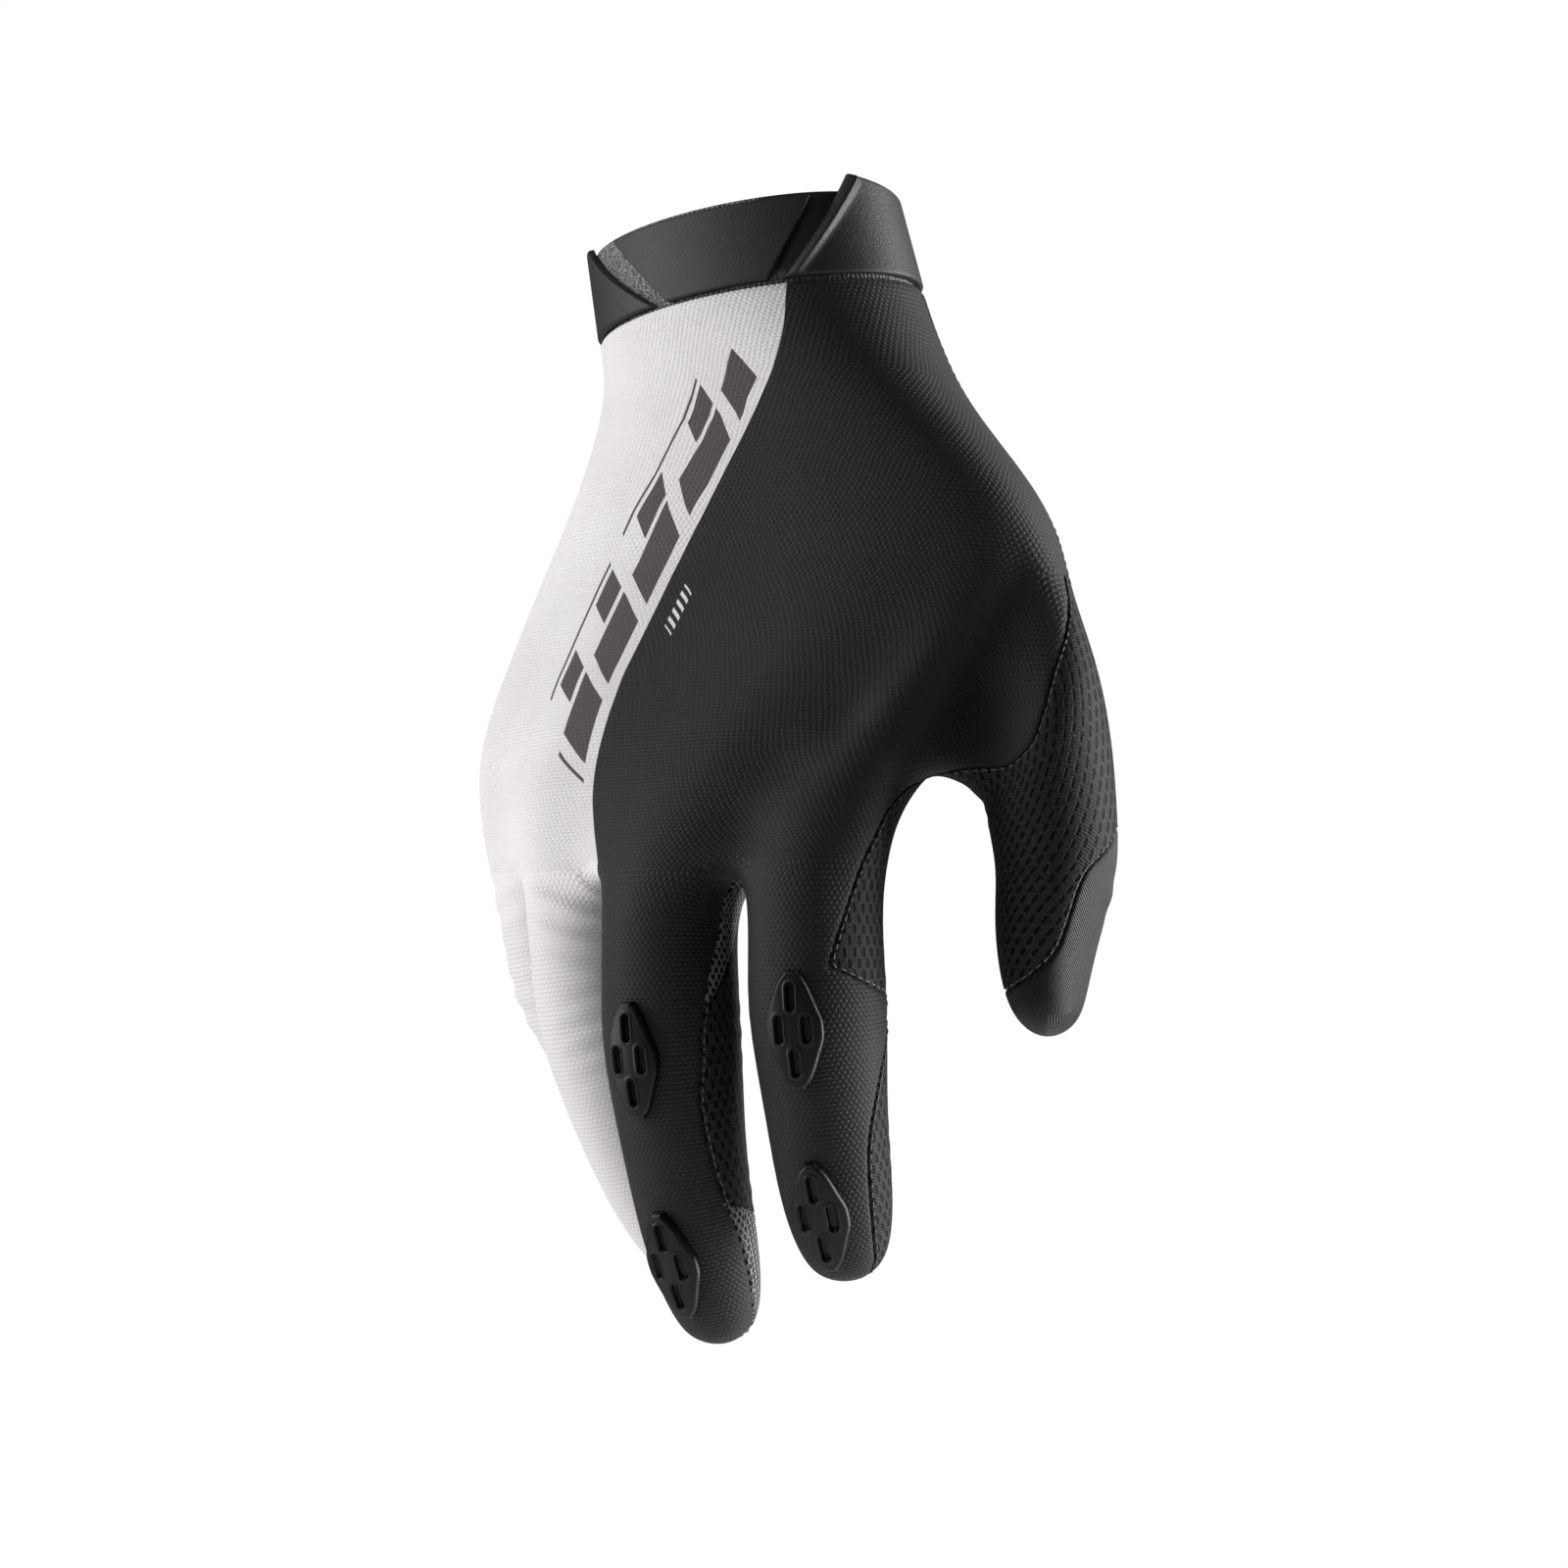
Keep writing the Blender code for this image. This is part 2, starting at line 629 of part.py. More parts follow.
def material(name):
    """A plain finish from the table, made once."""
    known = bpy.data.materials.get(name)
    if known:
        return known
    finish = FINISHES[name]
    made = bpy.data.materials.new(name)
    made.use_nodes = True
    shader = made.node_tree.nodes["Principled BSDF"]
    shader.inputs["Base Color"].default_value = (finish.red, finish.green, finish.blue, 1.0)
    shader.inputs["Roughness"].default_value = finish.roughness
    shader.inputs["Metallic"].default_value = 0.0
    return made


def place_object(name, mesh, finishes, parts):
    made = bpy.data.objects.new(name, mesh)
    for finish in finishes:
        mesh.materials.append(material(finish))
    parts.objects.link(made)
    return made


PANEL_FINISHES = {
    "knit_back": ("black_knit", "white_print"),
    "palm": ("black_perforated",),
    "thumb_wrap": ("black_perforated",),
    "thumb_tip": ("black_knit",),
    "fingertip_mesh": ("black_mesh",),
}


def make_panels(guide, parts):
    """Cuts the skin along its seams and gives each panel a wall of cloth towards the hand."""
    skin = Skin(evaluated_mesh(guide))
    for height in SEAMS:
        skin.cut(height)
    skin.mesh.normal_update()
    number = skin.mesh.faces.layers.int.new("panel")
    inward = skin.mesh.verts.layers.float_vector.new("inward")
    for vert in skin.mesh.verts:
        vert[inward] = -vert.normal
    for face in skin.mesh.faces:
        spot = skin.spot(face)
        face[number] = PANELS.index(panel_of(*spot))
        face.material_index = 1 if PANELS[face[number]] == "knit_back" and is_print(*spot) else 0
    for index, name in enumerate(PANELS):
        panel = skin.mesh.copy()
        number = panel.faces.layers.int["panel"]
        inward = panel.verts.layers.float_vector["inward"]
        others = [face for face in panel.faces if face[number] != index]
        bmesh.ops.delete(panel, geom=others, context="FACES")
        rim = bmesh.ops.inset_region(
            panel, faces=panel.faces[:], thickness=SEAM_GAP / 2.0, use_boundary=True, use_even_offset=False,
        )["faces"]
        bmesh.ops.delete(panel, geom=rim, context="FACES")
        inner = bmesh.ops.extrude_face_region(panel, geom=panel.faces[:], use_keep_orig=True)["geom"]
        for item in inner:
            if isinstance(item, bmesh.types.BMVert):
                item.co += item[inward] * CLOTH_WALL
        bmesh.ops.recalc_face_normals(panel, faces=panel.faces[:])
        mesh = bpy.data.meshes.new(name)
        panel.to_mesh(mesh)
        panel.free()
        place_object(name, mesh, PANEL_FINISHES.get(name, ("black_mesh",)), parts)
    skin.mesh.free()


def cuff_point(angle, height, out):
    """A point of the cuff: an angle in degrees, a height over the wrist seam, and how far outside the band."""
    up = height / CUFF_HEIGHT
    inset = CUFF_PANEL_WALL + FIT_GAP + CUFF_TAPER * up - out
    turn = math.radians(angle)
    x = (0.5 * WRIST_BREADTH - inset) * math.cos(turn) + CUFF_SKEW_SIDE * (1.0 - up)
    y = -(0.5 * WRIST_DEPTH - inset) * math.sin(turn) + CUFF_SKEW_PALM * (1.0 - up)
    return cuff_tilt() @ Vector((x, y, height - CUFF_HEIGHT))


def grid_mesh(name, columns, closed=False):
    """A sheet of quads through columns of points."""
    sheet = bmesh.new()
    verts = [[sheet.verts.new(point) for point in column] for column in columns]
    pairs = list(zip(verts, verts[1:] + verts[:1])) if closed else list(zip(verts, verts[1:]))
    for one, two in pairs:
        for i in range(len(one) - 1):
            sheet.faces.new((one[i], two[i], two[i + 1], one[i + 1]))
    mesh = bpy.data.meshes.new(name)
    sheet.to_mesh(mesh)
    sheet.free()
    return mesh


def thicken(thing, wall, outward):
    """Gives an open sheet its wall, to the side its faces point to or to the other."""
    shell = thing.modifiers.new("wall", "SOLIDIFY")
    shell.thickness = wall
    shell.offset = 1.0 if outward else -1.0
    return shell


def make_cuff(parts):
    """An elastic band, with three raised panels on its outside."""
    columns = []
    for i in range(CUFF_SEGMENTS):
        angle = -360.0 * i / CUFF_SEGMENTS
        columns.append([cuff_point(angle, FIT_GAP, 0.0), cuff_point(angle, CUFF_HEIGHT, 0.0)])
    band = place_object("cuff_band", grid_mesh("cuff_band", columns, closed=True), ("grey_elastic",), parts)
    thicken(band, CUFF_WALL, outward=False)
    for panel in CUFF_PANELS:
        columns = []
        for i in range(panel.columns + 1):
            share = 1.0 - i / panel.columns
            bottom = panel.bottom_start + (panel.bottom_end - panel.bottom_start) * share
            top = panel.top_start + (panel.top_end - panel.top_start) * share
            rise = panel.rise_start * (1.0 - share) ** 3 + panel.rise_end * share ** 3
            column = []
            for row in range(CUFF_PANEL_ROWS + 1):
                up = row / CUFF_PANEL_ROWS
                height = CUFF_PANEL_EDGE + (CUFF_HEIGHT - 2.0 * CUFF_PANEL_EDGE + rise) * up
                column.append(cuff_point(bottom + (top - bottom) * up, height, FIT_GAP))
            columns.append(column)
        made = place_object(panel.name, grid_mesh(panel.name, columns), ("cuff_rubber",), parts)
        thicken(made, CUFF_PANEL_WALL, outward=True)


def pad_outline(up):
    """The pad's width at a place from -1 to 1 along it, as a share: a rhombus with rounded corners."""
    return max(0.20, min(1.0, 1.10 - 0.72 * abs(up)) * math.sqrt(max(0.0, 1.0 - abs(up) ** 9)))


def pad_place(finger, along):
    """Where a pad's flat pattern floats over the back of its finger: X across it and Y up it."""
    centre, direction, normal = finger_stations(finger, [along])[0]
    side = finger_frame(finger)[2]
    turn = Matrix((side, -direction, normal)).transposed().to_4x4()
    return Matrix.Translation(centre + normal * FINGER_DEPTH) @ turn


def pad_sheet(pad):
    columns = []
    for i in range(PAD_ACROSS + 1):
        across = 2.0 * i / PAD_ACROSS - 1.0
        column = []
        for j in range(PAD_ALONG + 1):
            up = math.sin(0.5 * math.pi * (2.0 * j / PAD_ALONG - 1.0))
            column.append((0.5 * PAD_WIDTH * pad_outline(up) * across, 0.5 * PAD_LENGTH * up, 0.0))
        columns.append(column)
    return grid_mesh(pad.name, columns)


def slot_cutter(pad, place, skin, guides):
    """Four round-ended slots, each standing square to the pad's face where it is cut."""
    cutter = bmesh.new()
    inward = -(place.to_3x3() @ Vector((0.0, 0.0, 1.0)))
    for across, up in SLOT_SPOTS:
        above = place @ Vector((across * SLOT_STEP_ACROSS, up * SLOT_STEP_ALONG, 0.0))
        hit, normal = skin.ray_cast(above, inward)[:2]
        upright = place.to_3x3() @ Vector((0.0, 1.0, 0.0))
        side = upright.cross(normal).normalized()
        turn = Matrix((side, normal.cross(side), normal)).transposed().to_4x4()
        stand = Matrix.Translation(hit + normal * (FIT_GAP + PAD_WALL)) @ turn
        slot = bmesh.ops.create_cone(
            cutter, cap_ends=True, segments=8, radius1=SLOT_WIDTH / 2.0, radius2=SLOT_WIDTH / 2.0,
            depth=2.0 * SLOT_DEPTH, matrix=Matrix.Rotation(math.pi / 8.0, 4, "Z"),
        )["verts"]
        for vert in slot:
            vert.co.y += math.copysign(0.5 * (SLOT_LENGTH - SLOT_WIDTH), vert.co.y)
            vert.co = stand @ vert.co
    mesh = bpy.data.meshes.new(pad.name + "_slots")
    cutter.to_mesh(mesh)
    cutter.free()
    made = bpy.data.objects.new(pad.name + "_slots", mesh)
    hide_as_guide(made)
    guides.objects.link(made)
    return made


def make_pads(guide, parts, guides):
    """Rubber pads that lie on the backs of two fingers, over their joints."""
    bpy.context.view_layer.update()
    skin = BVHTree.FromObject(guide, bpy.context.evaluated_depsgraph_get())
    for pad in PADS:
        place = pad_place(FINGERS[pad.finger], pad.along)
        made = place_object(pad.name, pad_sheet(pad), ("pad_rubber",), parts)
        made.matrix_world = place
        wrap = made.modifiers.new("lie on the finger", "SHRINKWRAP")
        wrap.target = guide
        wrap.wrap_method = "PROJECT"
        wrap.use_project_z = True
        wrap.use_positive_direction = False
        wrap.use_negative_direction = True
        wrap.offset = FIT_GAP
        thicken(made, PAD_WALL, outward=True)
        slots = made.modifiers.new("slots", "BOOLEAN")
        slots.object = slot_cutter(pad, place, skin, guides)


def main():
    for old in list(bpy.data.objects):
        bpy.data.objects.remove(old)
    parts = bpy.data.collections.new("motocross_glove")
    guides = bpy.data.collections.new("guides")
    for collection in (parts, guides):
        bpy.context.scene.collection.children.link(collection)
    guide = skin_guide(guides)
    make_panels(guide, parts)
    make_cuff(parts)
    make_pads(guide, parts, guides)


main()
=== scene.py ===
# %% [markdown]
# A motocross glove for the right hand, held up as a hand inside it would hold it. The solid model says
# where each piece is. This file dresses it: knit, print, perforated palm cloth, mesh, elastic, rubber and
# stitches. Metres, +Z up. The cuff's mouth is at the origin, the fingers point to -Z, the back of the hand
# faces -Y, and the thumb is on the +X side.

# %% Load the solid model
import math
from collections import namedtuple

import bmesh
import bpy
import numpy as np
from mathutils import Matrix, Vector
from mathutils.bvhtree import BVHTree
from mathutils.kdtree import KDTree


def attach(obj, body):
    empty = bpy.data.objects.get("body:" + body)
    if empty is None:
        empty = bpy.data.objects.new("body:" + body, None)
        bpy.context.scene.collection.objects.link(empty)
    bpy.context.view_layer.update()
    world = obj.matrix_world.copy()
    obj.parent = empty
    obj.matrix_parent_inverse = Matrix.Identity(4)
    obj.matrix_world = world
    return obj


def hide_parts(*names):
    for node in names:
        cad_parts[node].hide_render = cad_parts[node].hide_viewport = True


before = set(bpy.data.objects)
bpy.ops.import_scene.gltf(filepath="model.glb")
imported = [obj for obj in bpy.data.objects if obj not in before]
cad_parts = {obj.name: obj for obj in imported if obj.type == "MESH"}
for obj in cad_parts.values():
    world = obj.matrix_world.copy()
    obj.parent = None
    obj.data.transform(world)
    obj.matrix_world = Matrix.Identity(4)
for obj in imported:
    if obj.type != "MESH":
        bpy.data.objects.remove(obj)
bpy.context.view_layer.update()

# %% [markdown]
# The camera looks at the back of the hand from the thumb's side and a little from below. A long lens keeps
# the fingers from growing towards the picture's edge. An aim is easier to keep in mind as a compass angle,
# a height angle and a distance than as three coordinates, so the helper turns those into a place.

# %% Camera
scene = bpy.context.scene


def around_target(target, compass, height, distance):
    """A place seen from a target: compass 0 is its front, -Y, and turns towards +X."""
    turn, lift = math.radians(compass), math.radians(height)
    flat = math.cos(lift) * distance
    return target + Vector((math.sin(turn) * flat, -math.cos(turn) * flat, math.sin(lift) * distance))


def aim(thing, target):
    thing.rotation_euler = (target - thing.location).to_track_quat("-Z", "Y").to_euler()


GLOVE_MIDDLE = Vector((0.0052, 0.0050, -0.0965))
camera = bpy.data.objects.new("camera", bpy.data.cameras.new("camera"))
scene.collection.objects.link(camera)
camera.data.lens = 100.0
camera.location = around_target(GLOVE_MIDDLE, 44.0, -9.0, 0.74)
aim(camera, GLOVE_MIDDLE)
scene.camera = camera
print("camera at", tuple(round(value, 3) for value in camera.location))

# %% [markdown]
# A catalogue picture of a black glove is made with light from both sides and little from the front: the
# cloth stays dark, and its edges and ribs catch the light. Two tall soft boxes stand left and right, a weak
# one is near the camera, and the white room fills the rest.

# %% Floor, room and lights
floor_mesh = bpy.data.meshes.new("floor")
floor_mesh.from_pydata([(-3, -3, -0.62), (3, -3, -0.62), (3, 3, -0.62), (-3, 3, -0.62)], [], [(0, 1, 2, 3)])
floor = bpy.data.objects.new("floor", floor_mesh)
scene.collection.objects.link(floor)
floor_paint = bpy.data.materials.new("pale_floor")
floor_paint.use_nodes = True
floor_paint.node_tree.nodes["Principled BSDF"].inputs["Base Color"].default_value = (0.9, 0.9, 0.9, 1.0)
floor_paint.node_tree.nodes["Principled BSDF"].inputs["Roughness"].default_value = 0.9
floor_mesh.materials.append(floor_paint)

world = bpy.data.worlds.new("white_room")
scene.world = world
world.use_nodes = True
room = world.node_tree
seen = room.nodes["Background"]
seen.inputs["Color"].default_value = (1.0, 1.0, 1.0, 1.0)
seen.inputs["Strength"].default_value = 1.0
lighting = room.nodes.new("ShaderNodeBackground")
lighting.inputs["Color"].default_value = (1.0, 1.0, 1.0, 1.0)
lighting.inputs["Strength"].default_value = 0.085
path = room.nodes.new("ShaderNodeLightPath")
chooser = room.nodes.new("ShaderNodeMixShader")
room.links.new(path.outputs["Is Camera Ray"], chooser.inputs[0])
room.links.new(lighting.outputs[0], chooser.inputs[1])
room.links.new(seen.outputs[0], chooser.inputs[2])
room.links.new(chooser.outputs[0], room.nodes["World Output"].inputs["Surface"])
scene.view_settings.view_transform = "Standard"

SoftBox = namedtuple("SoftBox", "name compass height distance width tall watts")
for box in (
    SoftBox("right_box", 138.0, 2.0, 0.80, 0.34, 1.1, 23.0),
    SoftBox("left_box", -46.0, 14.0, 0.90, 0.60, 1.1, 9.8),
    SoftBox("camera_box", 10.0, 26.0, 1.10, 0.50, 0.5, 1.3),
):
    lamp = bpy.data.lights.new(box.name, "AREA")
    lamp.shape = "RECTANGLE"
    lamp.size, lamp.size_y, lamp.energy = box.width, box.tall, box.watts
    stand = bpy.data.objects.new(box.name, lamp)
    scene.collection.objects.link(stand)
    stand.location = around_target(GLOVE_MIDDLE, box.compass, box.height, box.distance)
    aim(stand, GLOVE_MIDDLE)

# %% [markdown]
# A glove in use has the form of a hand. The hand's sections are rounded lenses between the thumb's edge and
# the little finger's edge, and each digit is a bent tube with its own widths. The tables hold shares of
# named sizes, so one size changes the whole form. They are the solid model's own numbers, so the cloth lies
# where it does.

# %% Sizes of the hand form
HAND_LENGTH, HAND_BREADTH, HAND_DEPTH = 0.102, 0.092, 0.032
WRIST_BREADTH, WRIST_DEPTH, KNUCKLE_RISE = 0.0655, 0.045, 0.0011
HAND_LEAN_SIDE, HAND_LEAN_BACK = math.radians(3.0), math.radians(7.5)
CUFF_HEIGHT, CUFF_SKEW_SIDE, CUFF_SKEW_PALM, CUFF_TAPER = 0.0158, 0.0021, 0.0004, 0.0009
CUFF_LEAN_SIDE, CUFF_LEAN_BACK = math.radians(-1.9), math.radians(-4.6)
FINGER_WIDTH, FINGER_DEPTH = 0.0215, 0.0205
THUMB_LENGTH, THUMB_WIDTH = 0.0645, 0.0200
LENS_REACH, LENS_LIFT, KNUCKLE_DIP = 0.85, 0.80, 0.5
WALK_STEPS, JOINT_SPREAD = 200, 0.22
CORNERS, DORSAL_COUNT = 8, 12
RING_COUNT = 2 * DORSAL_COUNT + 2
CAGE_SWELL = 6.0 / (4.0 + 2.0 * math.cos(2.0 * math.pi / CORNERS))
HAND, INDEX, MIDDLE, RING, LITTLE, THUMB, WEB = range(7)

HandRow = namedtuple("HandRow", "down radial_x radial_y ulnar_x ulnar_y dorsal palmar knuckle")
HAND_ROWS = (
    HandRow(0.14, 0.428, 0.15, -0.313, 0.00, 0.62, 0.62, 0.0),
    HandRow(0.30, 0.592, 0.47, -0.392, 0.00, 0.58, 0.66, 0.0),
    HandRow(0.44, 0.630, 0.68, -0.470, 0.00, 0.56, 0.68, 0.2),
    HandRow(0.62, 0.575, 0.55, -0.545, 0.00, 0.54, 0.66, 0.6),
    HandRow(0.78, 0.480, 0.10, -0.592, 0.05, 0.52, 0.53, 1.0),
)
Section = namedtuple("Section", "along width depth slant shift", defaults=(0.0, 0.0))
FINGER_SECTIONS = (
    Section(0.00, 1.03, 1.03), Section(0.16, 1.01, 1.02), Section(0.30, 1.06, 1.06),
    Section(0.43, 1.00, 1.00), Section(0.57, 0.92, 0.91), Section(0.72, 0.88, 0.86),
    Section(0.85, 0.79, 0.75), Section(0.95, 0.56, 0.53),
)
THUMB_SECTIONS = (
    Section(0.16, 1.12, 1.20, 1.04), Section(0.30, 1.10, 1.12, 0.60), Section(0.42, 1.04, 1.05, 0.25),
    Section(0.54, 1.00, 1.01, 0.0, -0.01), Section(0.68, 0.87, 0.93, 0.0, -0.08),
    Section(0.81, 0.735, 0.79, 0.0, -0.06), Section(0.92, 0.56, 0.56),
)
Digit = namedtuple("Digit", "name x y down length scale roll splay knuckle middle end")
FINGERS = (
    Digit("index", 0.392, -0.18, 0.985, 0.0695, 1.00, 22, 5.6, 11, 12, 10),
    Digit("middle", 0.118, -0.42, 1.010, 0.0800, 1.03, 9, 1.6, 11, 12, 10),
    Digit("ring", -0.148, -0.30, 0.990, 0.0740, 0.97, -10, 0.4, 15, 15, 12),
    Digit("little", -0.372, 0.00, 0.950, 0.0620, 0.88, -27, -5.2, 22, 20, 14),
)
THUMB_ROOT = Vector((0.604, 0.55, 0.60))
THUMB_AIM = Vector((0.14, 0.12, -0.98))
THUMB_BACK = Vector((0.72, 0.69, 0.0))
THUMB_HOLE_ROW = 3

# %% [markdown]
# A digit's middle line is walked in short steps that turn a little at each joint. Each section then sits
# square to it. The hand's own sections need no walk: they are placed by shares of its breadth, depth and
# length.

# %% Where the sections go


def smooth_step(value):
    value = min(1.0, max(0.0, value))
    return value * value * (3.0 - 2.0 * value)


def cuff_tilt():
    return Matrix.Rotation(CUFF_LEAN_SIDE, 3, "Y") @ Matrix.Rotation(-CUFF_LEAN_BACK, 3, "X")


def hand_turn():
    return Matrix.Rotation(HAND_LEAN_SIDE, 3, "Y") @ Matrix.Rotation(-HAND_LEAN_BACK, 3, "X")


def wrist_centre():
    return cuff_tilt() @ Vector((CUFF_SKEW_SIDE, CUFF_SKEW_PALM, -CUFF_HEIGHT))


def in_hand(x, y, down):
    return wrist_centre() + hand_turn() @ Vector((x * HAND_BREADTH, y * HAND_DEPTH, -down * HAND_LENGTH))


def ring_angles():
    return [i * math.pi / (DORSAL_COUNT + 1) for i in range(RING_COUNT)]


def wrist_ring():
    flat = [(0.5 * WRIST_BREADTH * math.cos(a), -0.5 * WRIST_DEPTH * math.sin(a), 0.0) for a in ring_angles()]
    return [wrist_centre() + cuff_tilt() @ Vector(point) for point in flat]


def hand_ring(row):
    """A rounded lens between the hand's two edges, with a rise over each knuckle on its back."""
    radial = in_hand(row.radial_x, row.radial_y, row.down)
    ulnar = in_hand(row.ulnar_x, row.ulnar_y, row.down)
    middle, half = (radial + ulnar) / 2.0, (radial - ulnar) / 2.0
    outward = (hand_turn() @ Vector((0, 0, -1))).cross(half).normalized()
    points = []
    for i, angle in enumerate(ring_angles()):
        rise = (row.dorsal if angle <= math.pi else row.palmar) * HAND_DEPTH
        reach = math.copysign(abs(math.cos(angle)) ** LENS_REACH, math.cos(angle))
        lift = math.copysign(abs(math.sin(angle)) ** LENS_LIFT, math.sin(angle)) * rise
        if 1 <= i <= DORSAL_COUNT:
            lift += KNUCKLE_RISE * row.knuckle * (1.0 if (i - 1) % 3 == 1 else -KNUCKLE_DIP)
        points.append(middle + half * reach + outward * lift)
    return points


def bend_at(share, knuckle, joints):
    """How far a digit has turned at a share of its length: joints are pairs of place and degrees."""
    turned = sum(turn * smooth_step((share - at) / JOINT_SPREAD + 0.5) for at, turn in joints)
    return math.radians(knuckle + turned)


def walk(start, tangent, back, length, bend, shares):
    here, wanted, found = start.copy(), list(shares), []
    for step in range(WALK_STEPS + 1):
        angle = bend(step / WALK_STEPS)
        while wanted and step / WALK_STEPS >= wanted[0] - 1e-9:
            across = back * math.cos(angle) + tangent * math.sin(angle)
            found.append((here.copy(), tangent * math.cos(angle) - back * math.sin(angle), across))
            wanted.pop(0)
        here += (tangent * math.cos(angle) - back * math.sin(angle)) * (length / WALK_STEPS)
    return found


def finger_frame(finger):
    """Tangent, back and thumb-side directions of a finger before it bends."""
    splay, roll = math.radians(-finger.splay), math.radians(finger.roll)
    turn = hand_turn() @ Matrix.Rotation(splay, 3, "Y") @ Matrix.Rotation(roll, 3, "Z")
    return turn @ Vector((0, 0, -1)), turn @ Vector((0, -1, 0)), turn @ Vector((1, 0, 0))


def finger_stations(finger, shares):
    tangent, back, _ = finger_frame(finger)
    joints = ((0.30, finger.middle), (0.64, finger.end))
    bend = lambda share: bend_at(share, finger.knuckle, joints)
    return walk(in_hand(finger.x, finger.y, finger.down), tangent, back, finger.length, bend, shares)


def finger_rings(finger):
    side = finger_frame(finger)[2]
    stations = finger_stations(finger, [section.along for section in FINGER_SECTIONS] + [1.0])
    rings = []
    for section, (centre, _, back) in zip(FINGER_SECTIONS, stations):
        width = 0.5 * FINGER_WIDTH * finger.scale * section.width * CAGE_SWELL
        depth = 0.5 * FINGER_DEPTH * finger.scale * section.depth * CAGE_SWELL
        turns = [2.0 * math.pi * corner / CORNERS for corner in range(CORNERS)]
        rings.append([centre + side * (width * math.cos(a)) + back * (depth * math.sin(a)) for a in turns])
    return rings, stations[-1][0]


def thumb_rings():
    tangent = THUMB_AIM.normalized()
    back = (THUMB_BACK - tangent * THUMB_BACK.dot(tangent)).normalized()
    side = tangent.cross(back)
    bend = lambda share: bend_at(share, 0.0, ((0.25, 5.0), (0.58, 13.0)))
    shares = [section.along for section in THUMB_SECTIONS] + [1.0]
    stations = walk(in_hand(*THUMB_ROOT), tangent, back, THUMB_LENGTH, bend, shares)
    rings = []
    for section, (centre, direction, nail) in zip(THUMB_SECTIONS, stations):
        width = 0.5 * THUMB_WIDTH * section.width * CAGE_SWELL
        depth = 0.5 * THUMB_WIDTH * section.depth * CAGE_SWELL
        reach = nail * width - direction * (0.5 * THUMB_WIDTH * section.slant)
        middle = centre + nail * (THUMB_WIDTH * section.shift)
        turns = [2.0 * math.pi * corner / CORNERS for corner in range(CORNERS)]
        rings.append([middle + reach * math.cos(a) + side * (depth * math.sin(a)) for a in turns])
    return rings, stations[-1][0]


# %% [markdown]
# All sections are joined into one coarse cage of quads, and Subdivision Surface rounds it. Each corner of a
# quad also remembers where it is: how many columns round its zone and how many rows along it. Seams, print
# and weave are all drawn from those two numbers, so they follow the cloth round every bend.

# %% The cage


class Cage:
    """Quads that know their zone, and their corners' place round and along it."""

    def __init__(self):
        self.mesh = bmesh.new()
        self.place = self.mesh.loops.layers.uv.new("place")
        self.zone = self.mesh.faces.layers.int.new("zone")

    def verts(self, points):
        return [self.mesh.verts.new(point) for point in points]

    def quad(self, corners, places, zone):
        face = self.mesh.faces.new(corners)
        face[self.zone] = zone
        face.smooth = True
        for loop, place in zip(face.loops, places):
            loop[self.place].uv = place

    def band(self, upper, lower, row, zone, skipped=()):
        for i in range(len(upper)):
            if i not in skipped:
                j = (i + 1) % len(upper)
                places = ((i, row), (i + 1, row), (i + 1, row + 1), (i, row + 1))
                self.quad((upper[i], upper[j], lower[j], lower[i]), places, zone)

    def tip(self, ring, point, row, zone):
        top = self.mesh.verts.new(point)
        for i in range(0, CORNERS, 2):
            places = ((i, row), (i + 1, row), (i + 2, row), (i + 1, row + 1))
            self.quad((ring[i], ring[i + 1], ring[(i + 2) % CORNERS], top), places, zone)


